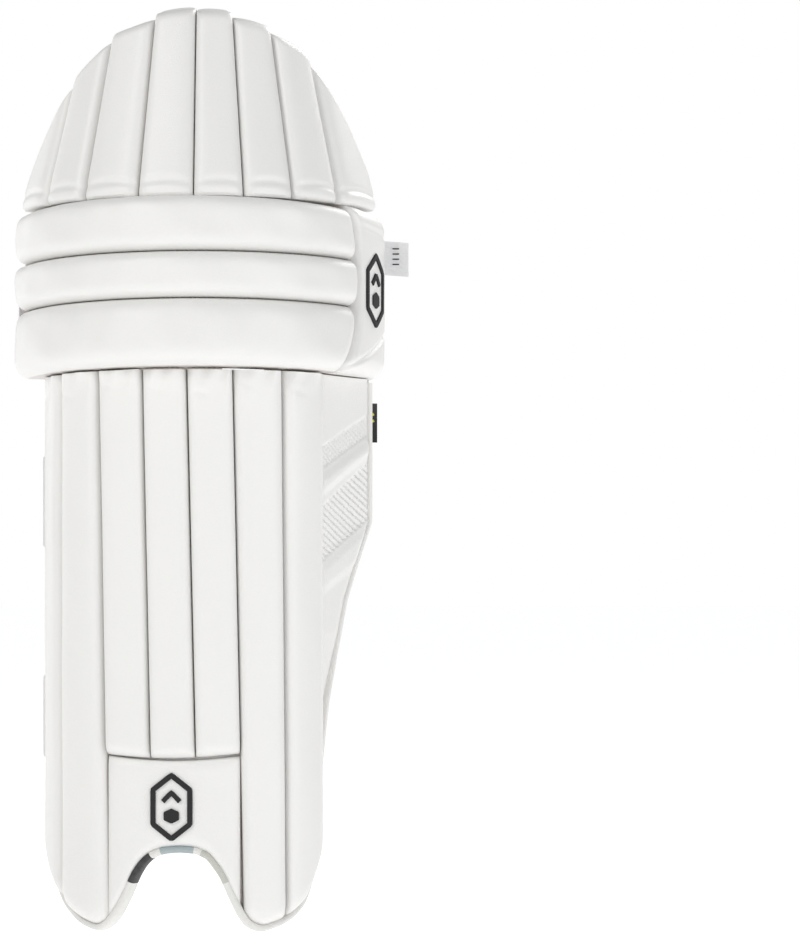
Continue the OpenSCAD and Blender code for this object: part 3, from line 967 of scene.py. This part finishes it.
def make_thigh_roll(k):
    node = f"thigh_roll_{k}"
    up = rising(level(556.2), lambda u: roll_top(k, u) - 1.2)
    place = laid(thigh, between(THIGH_A[k - 1] + 0.08, THIGH_A[k] - 0.08), up)

    def front(u, v):
        h, low, top = edges(up, u, v)
        free = (k == 1) & (u < 0.5) | (k == 8) & (u > 0.5)
        ends = (0.2 + 0.8 * end_round(top, 8)) * (0.5 + 0.5 * end_round(low, 9))
        roll = pillow(u, np.where(free, 16, 5.5)) * ends
        fold = 1.5 * hump(low - 9 - 3 * np.sin(np.pi * u), 2.6) * pillow(u, 3)
        t = -8.6 + 9.8 * roll - fold + 0.5 * ripple(u * 38, h, k + 11) * pillow(u)
        # The second value is painted shade: the colour darkens towards the seams, except on the free outer
        # sides.
        return t, np.where(free, 1, np.clip(roll * 2.2, 0, 1))

    piece = pad_piece(node, soft_ends(29), 72, place, front, -14.6, size=(38, 130))
    settle(piece, "flap_blend", [node])


def flap_top(a):
    """The scalloped top of the flap's lining, roll by roll."""
    tops = np.zeros_like(a)
    for k in range(1, 9):
        a0, a1 = THIGH_A[k - 1], THIGH_A[k]
        inside = (a >= a0) & (a <= a1)
        u = (a[inside] - a0) / (a1 - a0)
        tops[inside] = roll_top(k, u) - 1.0 - 1.8 * (1 - pillow(u, 6))
    return tops


def roll_places(n):
    """n places across each of the flap's rolls."""
    return np.unique(np.concatenate([np.linspace(a0, a1, n) for a0, a1 in zip(THIGH_A[:-1], THIGH_A[1:])]))


def flap_cord(name, a, top, low, steps, t, radius, mat):
    """A cord over the top of a shape on the flap and down both its sides, in as many steps."""
    sides = [thigh(side, np.linspace(low, top(np.array([side]))[0], steps), t) for side in (a[0], a[-1])]
    path = np.vstack([sides[0][:-1], thigh(a, top(a) + 0.3, t), sides[1][-2::-1]])
    settle(sweep(name, resample(path, 2.5), oval(radius, radius, 10), mat), "flap_blend")


def make_thigh_lining():
    up = rising(level(557.0), flap_top)

    def front(a, v):
        h, low, top = edges(up, a, v)
        near = np.min(np.abs(a[:, None] - np.array(THIGH_A)[None]), 1)
        pull = 1.6 * hump(near, 1.0) * np.exp(-top / 26)
        side = np.minimum(a - THIGH_A[0], THIGH_A[-1] - a) * 2.2
        return -16.5 - 6.2 * end_round(top, 9) * (0.4 + 0.6 * end_round(side, 8)) + pull

    piece = pad_piece("thigh_lining_mesh", roll_places(13), 56, laid(thigh, as_given, up), front, -14.8,
                      "mesh", (2.1, 135))
    settle(piece, "flap_blend", ["thigh_board"])
    flap_cord("thigh_binding", roll_places(22), flap_top, 557, 12, -14.6, 2.0, "white_piping")


PANEL_X, PANEL_HALF, PANEL_H = 5.0, 119.0, 131.0
PANEL_A, PANEL_BASE = (-70.5, 71.5), 557.2


def panel_x(a):
    return KNEE_C[0] + 108 * np.sin(np.radians(a))


def panel_top(a):
    t = np.clip(np.abs(panel_x(a) - PANEL_X) / PANEL_HALF, 0, 1)
    return np.maximum(local_height(a, 556 + PANEL_H * (1 - t ** 2.2) ** (1 / 2.2)), PANEL_BASE + 3)


def quilt_line(a):
    """Upper edge of the quilted band, in the pad's frame."""
    return np.interp(panel_x(a), [-106, -61, 39, 65, 94, 120], [601, 585, 576, 580, 593, 606])


def make_thigh_panel():
    up = rising(level(PANEL_BASE), panel_top)
    pitch = 9.0

    def groove(across):
        return hump(1 - np.abs((across / pitch) % 1 - 0.5) * 2, 0.2)

    def front(a, v):
        h, low, top = edges(up, a, v)
        side = np.minimum(a - PANEL_A[0], PANEL_A[1] - a) * 2.0
        edge = np.minimum(top, side)
        over = thigh(a, h, 0)[:, 2] - quilt_line(a)
        band = ease(-over / 2.5)
        grooves = np.maximum(groove(a * 1.95 + h), groove(a * 1.95 - h))
        line = hump(over, 1.2)
        t = -22.8 - 7.5 * (0.25 + 0.75 * end_round(edge, 10)) + band * (1.7 * grooves - 0.8) + 0.7 * line
        # The second value is painted shade: the colour darkens in the quilted band's grooves, along its upper
        # line and towards the panel's edges.
        return t, np.clip(1 - 0.55 * band * grooves - 0.5 * line, 0, 1) * np.clip(edge / 2, 0.3, 1)

    piece = pad_piece("thigh_inner_panel", np.linspace(*PANEL_A, 190), 92, laid(thigh, as_given, up), front,
                      -22.4, "panel", (1.95, 130))
    settle(piece, "flap_blend", ["thigh_inner_panel"])
    flap_cord("thigh_panel_piping", np.linspace(*PANEL_A, 120), panel_top, 560, 8, -24.4, 2.2, "piping")


# Flat shapes laid on a curved surface: each is an outline or a stroke in (across, up) millimetres
def stroke(name, lines, width, surface, thick, mat="print", closed=False):
    """Raised or printed strokes: surface(x, z, t) gives the point at (x, z), t over the face."""
    parts = []
    for i, line in enumerate(lines):
        points, out = on_surface(surface, resample(line, 1.6, closed), thick * 0.4)
        parts.append(sweep(f"{name}_{i}", points, oval(width / 2, thick, 8, 3.0), mat, out, closed))
    return join(name, parts) if len(parts) > 1 else parts[0]


def patch(name, outline, surface, thick, mat, step=3.0):
    """A filled thin shape with the given outline, as a fan of rings about its centre."""
    outline = resample(outline, step, True)
    centre, n, rings = outline.mean(0), len(outline), 6
    flat = np.vstack([centre] + [centre + (outline - centre) * (i / rings) for i in range(1, rings + 1)])
    total = len(flat)
    top, low = (surface(*flat.T, np.full(total, t)) for t in (thick, -0.4))
    last = total - n
    faces = []
    for m in range(n):
        p = (m + 1) % n
        faces += [(0, 1 + m, 1 + p), (total, total + 1 + p, total + 1 + m)]
        for a in range(1, last, n):
            b = a + n
            faces.append((a + m, b + m, b + p, a + p))
            faces.append((total + a + p, total + b + p, total + b + m, total + a + m))
        faces.append((last + m, total + last + m, total + last + p, last + p))
    points = np.vstack([top, low])
    a, b, c = (points[i] for i in faces[0])
    if np.dot(np.cross(b - a, c - a), top[0] - low[0]) < 0:
        faces = [f[::-1] for f in faces]
    return finish_mesh(name, points, faces, np.tile(flat * MM, (2, 1)), [mat])


def hexagon(x, z, w, h):
    """Corners of an upright hexagon, w wide and h high."""
    corners = [(0, 0.5), (0.5, 0.27), (0.5, -0.27), (0, -0.5), (-0.5, -0.27), (-0.5, 0.27)]
    return [(x + a * w, z + b * h) for a, b in corners]


def emblem(name, x, z, w, h, surface, width, thick, mat="black"):
    """The generic mark: an open hexagon, a chevron and a small solid hexagon."""
    ring = stroke(name + "_ring", [hexagon(x, z, w - width, h - width)], width, surface, thick, mat, True)
    bend = [(x - w * 0.2, z + h * 0.08), (x, z + h * 0.21), (x + w * 0.2, z + h * 0.08)]
    chevron = stroke(name + "_chevron", [bend], width * 0.9, surface, thick, mat)
    dot = patch(name + "_dot", hexagon(x, z - h * 0.13, w * 0.36, h * 0.22), surface, thick, mat, 1.5)
    return join(name, [ring, chevron, dot])


def instep_surface(x, z, t):
    return shin(s_of_x(x, 10.4), z, 10.5 + t)


def side_surface(x, z, t):
    """x is the arc from the panel's middle line."""
    return knee(67.0 + np.degrees(x / KNEE_R), z, KNEE_R - 1.9 + t)


def flap_surface(x, z, t):
    """The leg side of the thigh flap: x and z are seen from behind, in the pad's frame."""
    a = np.degrees(np.arcsin(np.clip((x - KNEE_C[0]) / 106, -0.98, 0.98)))
    return thigh(a, local_height(a, z), -30.4 - t)


def make_emblems():
    mark = emblem("instep_emblem", -4.5, 94.5, 32, 52, instep_surface, 4.2, 1.3)
    settle(mark, "pad", ["instep_emblem"])
    mark = emblem("knee_emblem", 0, 493, 33, 58, side_surface, 4.4, 1.3)
    settle(mark, "pad", ["knee_emblem"])
    mark = emblem("thigh_emblem", -27, 619, 60, 70, flap_surface, 8.0, 0.35, "print")
    settle(mark, "flap_blend")
    line = [(70, 655), (45, 633), (41, 626), (39, 577)]
    settle(stroke("thigh_line", [line], 2.2, flap_surface, 0.3), "flap_blend")
    for name, outline in (("thigh_strip_wide", [(83, 634), (62, 648), (62, 583), (83, 588)]),
                          ("thigh_strip_thin", [(52, 634), (44, 628), (43, 580), (52, 581)])):
        settle(patch(name, outline, flap_surface, 0.2, "print_grey"), "flap_blend")
    turn = np.linspace(0, 2 * math.pi, 40, endpoint=False)
    outline = np.column_stack([84 + 12.5 * np.cos(turn), 570 + 10.5 * np.sin(turn)])
    badge = patch("thigh_badge", outline, flap_surface, 1.6, "badge", 2)
    settle(badge, "flap_blend", ["thigh_badge"])
    mark = stroke("badge_mark", [[(78, 570), (90, 570)], [(84, 566), (84, 574)]], 1.0,
                  lambda x, z, t: flap_surface(x, z, t + 1.5), 0.3)
    settle(mark, "flap_blend")


# ---------------- the leg side of the knee
WING_FACE, KNEE_WING_T = 117.6, 22.6


def knee_face(a, h, t):
    """t is the height over the leg side of the knee."""
    return knee(a, h, WING_FACE - t)


def make_knee_wing(name, nodes, a0, a1, h_low, h_high):
    """h_low and h_high give the wing's lower and upper edges across its width."""
    place = laid(knee_face, between(a0, a1), rising(h_low, h_high))
    width, mean_height = abs(a1 - a0) * 1.9, 110

    def front(u, v):
        height = h_high(u) - h_low(u)
        edge = np.minimum(to_side(u, width), to_side(v, height))
        soft = 0.62 + 0.38 * end_round(edge, 11)
        return KNEE_WING_T * soft + 0.5 * ripple(u * width, v * height, a0 % 7)

    wing = pad_piece(name, soft_ends(44, 1.5), soft_ends(40, 1.5), place, front, 0.3,
                     ("mesh", "khaki", "khaki"), (width, mean_height))
    settle(wing, "pad", nodes)
    size = np.array([width, mean_height])
    u, v = (resample(np.array([(0, 0), (1, 0), (1, 1), (0, 1), (0, 0)]) * size, 3)[:-1] / size).T
    path = place(u, v, KNEE_WING_T * 0.62 + 0.3)
    settle(sweep(name + "_piping", path, oval(1.3, 1.3, 8), "khaki", closed=True), "pad")


def make_knee_inside():
    make_knee_wing("knee_wing_outer", ["knee_wing_outer", "knee_wing_foams"], 11.3, 77.5,
                   lambda u: 446 + 3 * u, lambda u: 546 + 8 * ease(u * 4) - 2 * u)
    make_knee_wing("knee_wing_inner", ["knee_wing_inner"], -73.5, -25.3,
                   lambda u: 433.5 + 12 * u, lambda u: 551.5 - 12 * ease((u - 0.6) / 0.4))

    def front(a, h):
        edge = np.minimum(np.minimum(a + 24.5, 10.5 - a) * 1.9, 556 - h)
        # The second value is painted shade: the colour darkens towards the panel's edges.
        return 6.5 * (0.3 + 0.7 * end_round(edge, 6)), np.clip(edge / 2 + 0.3, 0, 1)

    panel = pad_piece("knee_centre_panel", np.linspace(-24.3, 10.3, 30), np.linspace(438, 556, 60), knee_face,
                      front, 0.3, "ivory", (1.9, 1))
    settle(panel, "pad", ["knee_centre_panel"])

    def face(x, z, t):
        a = np.degrees(np.arcsin(np.clip((x - KNEE_C[0]) / 111, -0.9, 0.9)))
        return knee_face(a, z, 6.9 + t)

    x = np.linspace(-29, 31, 37)
    for name, z in (("zigzag_upper", 527.0), ("zigzag_lower", 449.0)):
        zig = np.column_stack([x, z + 1.7 * (-1.0) ** np.arange(len(x))])
        settle(stroke(name, [zig], 0.7, face, 0.3, "dark_thread"), "pad")
    turn = np.radians(np.linspace(28, 152, 30))
    arc = np.column_stack([2 + 22 * np.cos(turn), 493 + 22 * np.sin(turn)])
    bars = [[(-18, z), (22, z)] for z in (496.5, 490.5, 484.5)]
    marks = [stroke("knee_arc", [arc], 4.2, face, 0.3), stroke("knee_bars", bars, 3.2, face, 0.3)]
    settle(join("knee_print", marks), "pad")


def make_care_label():
    lo, hi = (np.array(c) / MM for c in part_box("care_label"))
    mid_y = (lo[1] + hi[1]) / 2

    def place(u, v, t):
        x = lo[0] - 5 + (hi[0] - lo[0] + 5) * u
        z = lo[2] + (hi[2] - lo[2]) * v - 1.5 * u
        return np.column_stack([x, mid_y + 1.2 * np.sin(u * 2.2 + v) - t, z])

    def face(x, z, t):
        return np.column_stack([x, mid_y + 0.15 - t, z])

    label = pad_piece("care_label", 12, 12, place, 0.35, -0.35, "label", (16, 26))
    settle(label, "pad", ["care_label"])
    dashes = [[(lo[0] + 3, z), (lo[0] + 8, z)] for z in lo[2] + np.array([8.0, 12, 16, 20])]
    settle(stroke("care_label_print", dashes, 0.9, face, 0.2), "pad")


# ---------------- bolsters
FACE_T, BOLSTER_T = -8.3, 21.5
BOLSTER_SIZE = (60, 380)


def leg_face(s, z, t):
    """t is the height over the leg side of the shin."""
    return shin(s, z, FACE_T - t)


def bolster(name, nodes, s0, s1, z0, z1, rise=None, ribs_from=0):
    """A soft bolster on the leg side. s0 and s1 give its two sides by height, z0 and z1 its ends
    across its width; rise slants the ribs, if it has any, that start above the height ribs_from."""
    up = rising(z0, z1)
    place = laid(leg_face, lambda u, z: s0(z) + (s1(z) - s0(z)) * u, up)

    def front(u, v):
        z, low, top = edges(up, u, v)
        width = s1(z) - s0(z)
        edge = np.minimum(to_side(u, width), np.minimum(low, top))
        t = BOLSTER_T * (0.28 + 0.72 * end_round(edge, 17))
        # Painted shade: the colour darkens towards the bolster's edges.
        depth = np.clip(edge / 3 + 0.25, 0, 1)
        if rise is not None:
            wave = np.cos(2 * np.pi * (z - rise * u * width) / 4.7)
            share = ease((edge - 3) / 4) * (ease((z - ribs_from) / 14) if ribs_from else 1)
            t += 0.8 * wave * share
            # Painted shade: the colour darkens in the valleys between the ribs.
            depth = depth * (1 - 0.4 * (0.5 - 0.5 * wave) * share)
        return t, depth

    rows = 100 if rise is None else 400
    piece = pad_piece(name, soft_ends(26, 1.5), rows, place, front, 0.2, "ivory", BOLSTER_SIZE)
    settle(piece, "pad", nodes)
    return place


def bolster_piping(name, place, corners):
    """Piping along chosen sides of a bolster, corners in its own (u, v)."""
    u, v = (resample(np.array(corners, float) * BOLSTER_SIZE, 2) / BOLSTER_SIZE).T
    settle(sweep(name, place(u, v, 5.5), oval(2.1, 2.1, 10), "piping"), "pad")


def make_bolsters():
    bolster("centre_bolster", ["centre_bolster", "bolster_foams"], level(92.5), level(160), level(137),
            level(427))

    def outer_edge(z):
        x = np.interp(z, [38, 60, 130, 150, 191, 250, 289, 358, 425], [78, 84, 84, 76, 73, 86, 94, 104, 104])
        return np.minimum(s_of_x(x, -19.0), 233)

    def round_low(u):
        return 64 - 30 * pillow(u, 2.4)

    outer = bolster("outer_bolster", ["outer_bolster"], level(162.8), outer_edge, round_low,
                    lambda u: 422 + 2 * u, 0.12, 128)
    bolster_piping("outer_bolster_piping", outer, [(0, 0), (0.5, 0), (1, 0), (1, 0.5), (1, 1), (0.5, 1)])
    inner = bolster("inner_bolster", ["inner_bolster"], level(19), level(89.8), round_low,
                    lambda u: 414 + 8 * u, -0.12)
    bolster_piping("inner_bolster_piping", inner, [(1, 0), (0.5, 0), (0, 0), (0, 0.5), (0, 1), (0.6, 1)])

    def face(x, z, t):
        return leg_face(s_of_x(x, -29.0), z, BOLSTER_T + 0.1 + t)

    marks = []
    for i in range(8):
        z = 404 - i * 27.5
        shape = [(-12.5, -8.5), (12.5, -2.5), (12.5, 8.5), (-12.5, 2.5)]
        block = [(x, z + up) for x, up in shape]
        ring = [(x * 1.28, z + up + math.copysign(2.8, up)) for x, up in shape]
        marks += [patch(f"centre_block_{i}", block, face, 0.3, "print", 2.0),
                  stroke(f"centre_ring_{i}", [ring], 0.9, face, 0.25, "print", True)]
    settle(join("centre_print", marks), "pad")


# ---------------- straps and rings
# Each list is for the knee, the calf and the ankle. The straps follow arcs in plan, and the other
# values are places across the pad, widths and heights.
STRAP_NAMES = ["knee", "calf", "ankle"]
ARC_C = [(14, -168), (14, -176), (-7, -111)]
ARC_R = [230, 220, 150]
ANCHOR_X = [149, 134, 114]
OUTER_BAR_X = [134, 114, 101]
INNER_BAR_X = [122, 102, 89]
STRAP_END_X = [-88, -94, -65]
TAB_LEN = [38, 76, 76]
LOOP_X = [(-126, 78), (-107, -35), (-104, -20)]
TONGUE_X = [(112, 133), (45, 125), (76, 105)]
STRAP_W = [31, 65, 58]
STRAP_Z = [464.5, 324, 160]
STRAP_T, BAND_T, BAR_R = 2.2, 1.7, 1.75     # the CAD's band, the band shown here, and a ring's bar


def on_arc(k, x, r):
    """The point in plan at the place x across the pad, r out from strap k's arc."""
    a = np.arcsin((np.asarray(x, float) - ARC_C[k][0]) / ARC_R[k])
    reach = ARC_R[k] + r
    return np.column_stack([ARC_C[k][0] + reach * np.sin(a), ARC_C[k][1] + reach * np.cos(a)])


def arc_face(k, r):
    """A surface standing on strap k's arc, r out from it."""
    return lambda x, z, t: np.column_stack([on_arc(k, x, r + t), z])


# Across a ribbon's width, the places of its points and their share of its thickness
RIBBON_ACROSS = np.array([0, 0.012, 0.04, 0.15, 0.3, 0.5, 0.7, 0.85, 0.96, 0.988, 1])
RIBBON_THICK = np.array([0.3, 0.75, 1, 1, 1, 1, 1, 1, 1, 0.75, 0.3])


def ribbon(name, path, z, width, thick, mat, ends=None):
    """A flat band standing on edge along a path in plan. ends(d) gives the share of the width
    left at d from the last point, for a shaped tip."""
    path = resample(path, 2.0)
    tangent = unit(np.gradient(path, axis=0))
    normal = np.column_stack([-tangent[:, 1], tangent[:, 0]])
    along = lengths(path)
    share = ends(along[-1] - along) if ends else np.ones(len(path))
    section = np.concatenate([RIBBON_ACROSS, RIBBON_ACROSS[::-1]])
    offset = np.concatenate([RIBBON_THICK, -RIBBON_THICK[::-1]]) * thick / 2
    k, n = len(section), len(path)
    zz = z + (0.5 - section[None]) * width * share[:, None]
    xy = path[:, None] + normal[:, None] * offset[None, :, None]
    points = np.concatenate([xy, zz[..., None]], 2).reshape(-1, 3)
    uv = np.column_stack([np.repeat(along * MM, k), np.tile(section, n)])
    return finish_mesh(name, points, [f[::-1] for f in tube_faces(n, k)], uv, [mat], sharp=60)


def round_bar(main, bar, way):
    """The path main in plan, carried on round a ring's bar. way is 1 or -1."""
    ahead = main[-1] - main[-2]
    start = math.degrees(math.atan2(ahead[1], ahead[0])) - way * 105
    turn = np.radians(start + way * np.linspace(0, 215, 40))
    radius = BAR_R + 0.3 + BAND_T / 2
    return np.vstack([main, bar + radius * np.column_stack([np.cos(turn), np.sin(turn)])])


def make_strap(k):
    """The strap, round its ring's bar and back under itself to its sewn end."""
    name, z, width = STRAP_NAMES[k], STRAP_Z[k], STRAP_W[k]
    mid, bar_x = STRAP_T / 2, INNER_BAR_X[k]
    main = on_arc(k, np.linspace(STRAP_END_X[k], bar_x - 4.5, 90), mid)
    path = round_bar(main, on_arc(k, [bar_x], mid)[0], -1)
    strap = ribbon(f"{name}_strap", path, z, width, BAND_T, "webbing")
    settle(strap, f"{name}_band", [f"{name}_strap"])
    end = on_arc(k, np.linspace(bar_x - 4, bar_x - 24, 12), mid + 1.7)
    settle(ribbon(f"{name}_strap_end", end, z, width - 0.6, 1.5, "webbing"), f"{name}_band")
    for i, x in enumerate((bar_x - 20.5, bar_x - 8.5)):
        line = [(x, up) for up in np.linspace(z - width / 2 + 2, z + width / 2 - 2, 20)]
        row = sewn(f"{name}_strap_stitches_{i}", arc_face(k, mid + 2.5), line, 0, 3.0, 2.1, 0.3)
        settle(row, f"{name}_band")


def make_tab(k):
    """The stitched tab on the strap's end, with a rounded point and the generic mark."""
    name, z = STRAP_NAMES[k], STRAP_Z[k]
    body = f"{name}_band"
    r = STRAP_T + 0.1 + 0.8
    x0, x1 = STRAP_END_X[k] - 1.4, STRAP_END_X[k] + TAB_LEN[k]
    width, reach = STRAP_W[k] - 2, 12 if k else 5
    tab = ribbon(f"{name}_strap_tab", on_arc(k, np.linspace(x1, x0, 60), r), z, width, 1.5, "tab",
                 lambda d: 0.62 + 0.38 * end_round(d, reach))
    settle(tab, body, [f"{name}_strap_tab"])
    half = width / 2 - 2
    upper = [(x1 - 2, half), (x0 + reach, half), (x0 + 3, half * 0.62)]
    outline = [(x, z + up) for x, up in upper] + [(x, z - up) for x, up in upper[::-1]]
    line = resample(outline, 2)
    row = sewn(f"{name}_tab_stitches", arc_face(k, r + 0.75), line, 0.05, 2.8, 2.0, 0.26)
    settle(row, body)
    w, h = width * 0.5, width * 0.72
    spot = x0 + reach + w * 0.62
    around = hexagon(spot, z, w + 7, h + 7)
    plate = patch(f"{name}_tab_plate", around, arc_face(k, r + 0.75), 0.25, "tongue", 1.5)
    settle(plate, body)
    mark = emblem(f"{name}_tab_emblem", spot, z, w, h, arc_face(k, r + 1), width * 0.085, 0.4)
    settle(mark, body)


def make_anchor(k, suffix, node, width, z):
    mid = STRAP_T / 2
    x = np.linspace(ANCHOR_X[k] - (6 if k == 2 else 0), OUTER_BAR_X[k] + 4.3, 20)
    path = round_bar(on_arc(k, x, mid), on_arc(k, [OUTER_BAR_X[k]], mid)[0], 1)
    band = ribbon(f"{STRAP_NAMES[k]}_anchor{suffix}", path, z, width, BAND_T, "webbing")
    settle(band, "pad", [node])


def make_ring(k):
    """A flat rectangular ring of round bar with rounded corners."""
    name = STRAP_NAMES[k]
    a, b = (on_arc(k, [x], STRAP_T / 2)[0] for x in (OUTER_BAR_X[k], INNER_BAR_X[k]))
    span, half, corner = np.linalg.norm(b - a), STRAP_W[k] / 2 + 3.2, 2.6
    outline = []
    for start, x, z in ((0, span - corner, half - corner), (90, corner, half - corner),
                        (180, corner, corner - half), (270, span - corner, corner - half)):
        turn = np.radians(start + np.linspace(0, 90, 7))
        outline += list(zip(x + corner * np.cos(turn), z + corner * np.sin(turn)))
    across, up = resample(outline, 2.0, True).T
    go = (b - a) / span
    points = np.column_stack([a + across[:, None] * go, STRAP_Z[k] + up])
    ring = sweep(f"{name}_ring", points, oval(BAR_R, BAR_R, 14), "ring", np.array([[-go[1], go[0], 0]]), True)
    settle(ring, f"{name}_buckle", [f"{name}_ring"])


def make_receivers():
    for k, node in enumerate(["knee_loop_strap", "calf_loop_panel", "ankle_loop_panel"]):
        x = np.linspace(*LOOP_X[k], 60)
        path = on_arc(k, x, -1.3)
        if k:
            path = np.vstack([[(-103.2, -9.0), (-104.0, -4.0), (-105.0, 0.5)], path[3:]])
        band = ribbon(node, path, STRAP_Z[k], STRAP_W[k] + 4, BAND_T, "pile")
        settle(band, "pad", [node])
        for i, side in enumerate((-1, 1)):
            line = np.column_stack([x, np.full(60, STRAP_Z[k] + side * (STRAP_W[k] / 2 + 0.6))])
            row = sewn(f"{node}_stitches_{i}", arc_face(k, -0.4), line, 0, 3.0, 2.1, 0.26)
            settle(row, "pad")


def make_tongues():
    r = STRAP_T / 2 + 0.3 - (BAR_R + 0.35 + STRAP_T + 0.9)
    for k, name in enumerate(STRAP_NAMES):
        x0, x1 = TONGUE_X[k]
        reach = 20 if k == 1 else 12
        tongue = ribbon(f"{name}_tongue", on_arc(k, np.linspace(x1, x0, 50), r), STRAP_Z[k], STRAP_W[k] + 12,
                        BAND_T, "tongue", lambda d: 0.45 + 0.55 * end_round(d, reach))
        settle(tongue, "pad", ["strap_tongues"] if k == 0 else [])


# ---------------- hang tag
def make_tag():
    lo, hi = (np.array(c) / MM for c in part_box("hang_tag"))
    (x, mid_y, z), size = (lo + hi) / 2, hi - lo

    def bow(z):
        return 0.35 * np.sin((z - lo[2]) / size[2] * 3.0)

    def place(u, v, t):
        z = lo[2] + size[2] * v
        return np.column_stack([lo[0] + size[0] * u, mid_y + t + bow(z), z])

    card = pad_piece("hang_tag", 8, 10, place, 0.45, -0.45, "card", (16, 30))
    settle(card, "tag", ["hang_tag"])
    slants = [[(x - 5.5, z + up), (x + 5.5, z + up + 6)] for up in (-4, 1)]
    for i, sign in enumerate((1, -1)):
        def face(across, up, t, sign=sign):
            return np.column_stack([across, mid_y + sign * (0.45 + t) + bow(up), up])

        marks = slants + [[(x - 4, z - 10), (x + 4, z - 10)]]
        settle(stroke(f"hang_tag_stripes_{i}", marks, 2.0, face, 0.15, "yellow"), "tag")
    eye, top = hi[2] - 3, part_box("hang_tag_loop")[1][2] / MM
    loop = [(0, eye + 5.5), (0, top - 4), (-1.5, top + 1), (-5, top + 2.5)]
    string = [(1.0, eye - 1), (1.1, eye + 2.8), (0, eye + 4.8), (-1.1, eye + 2.8), (-1.0, eye - 1)]
    for name, body, route, half, nodes in (("hang_tag_loop", "pad", loop, 1.2, ["hang_tag_loop"]),
                                           ("hang_tag_string", "tag", string, 0.6, [])):
        path = resample([(x, mid_y + back, up) for back, up in route], 1.0)
        settle(sweep(name, path, oval(half, 0.5, 8), "dark_thread"), body, nodes)


def finish_cane():
    """The canes lie inside the rolls and show nowhere, but keep a finish of their own."""
    g = Graph("varnished_cane", 0.35, Coat_Weight=0.3)
    g.colour(g.mix(g.noise(35, 5), rgb(206, 170, 110), rgb(176, 136, 82)))
    g.bump(g.noise(260), 0.0002, 0.5)
    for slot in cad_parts["cane_rods"].material_slots:
        slot.material = g.mat


make_camera()
make_studio()
make_floor()
for k in range(1, 8):
    make_shin_roll(k)
make_instep()
make_binding()
make_shin_board()
make_shin_lining()
make_inner_rim()
make_wing()
for k, node in enumerate(["knee_roll_lower", "knee_roll_middle", "knee_roll_upper"]):
    make_knee_roll(k, node)
make_side_panel()
make_knee_board()
for k in range(1, 9):
    make_thigh_roll(k)
make_thigh_lining()
make_thigh_panel()
make_emblems()
make_knee_inside()
make_care_label()
make_bolsters()
for k in range(3):
    make_strap(k)
    make_tab(k)
    make_ring(k)
make_anchor(0, "", "knee_anchor", STRAP_W[0], STRAP_Z[0])
make_anchor(1, "_upper", "calf_anchors", 28, STRAP_Z[1] + 17)
make_anchor(1, "_lower", "calf_anchors", 28, STRAP_Z[1] - 17)
make_anchor(2, "", "ankle_anchor", STRAP_W[2], STRAP_Z[2])
make_receivers()
make_tongues()
make_tag()
finish_cane()
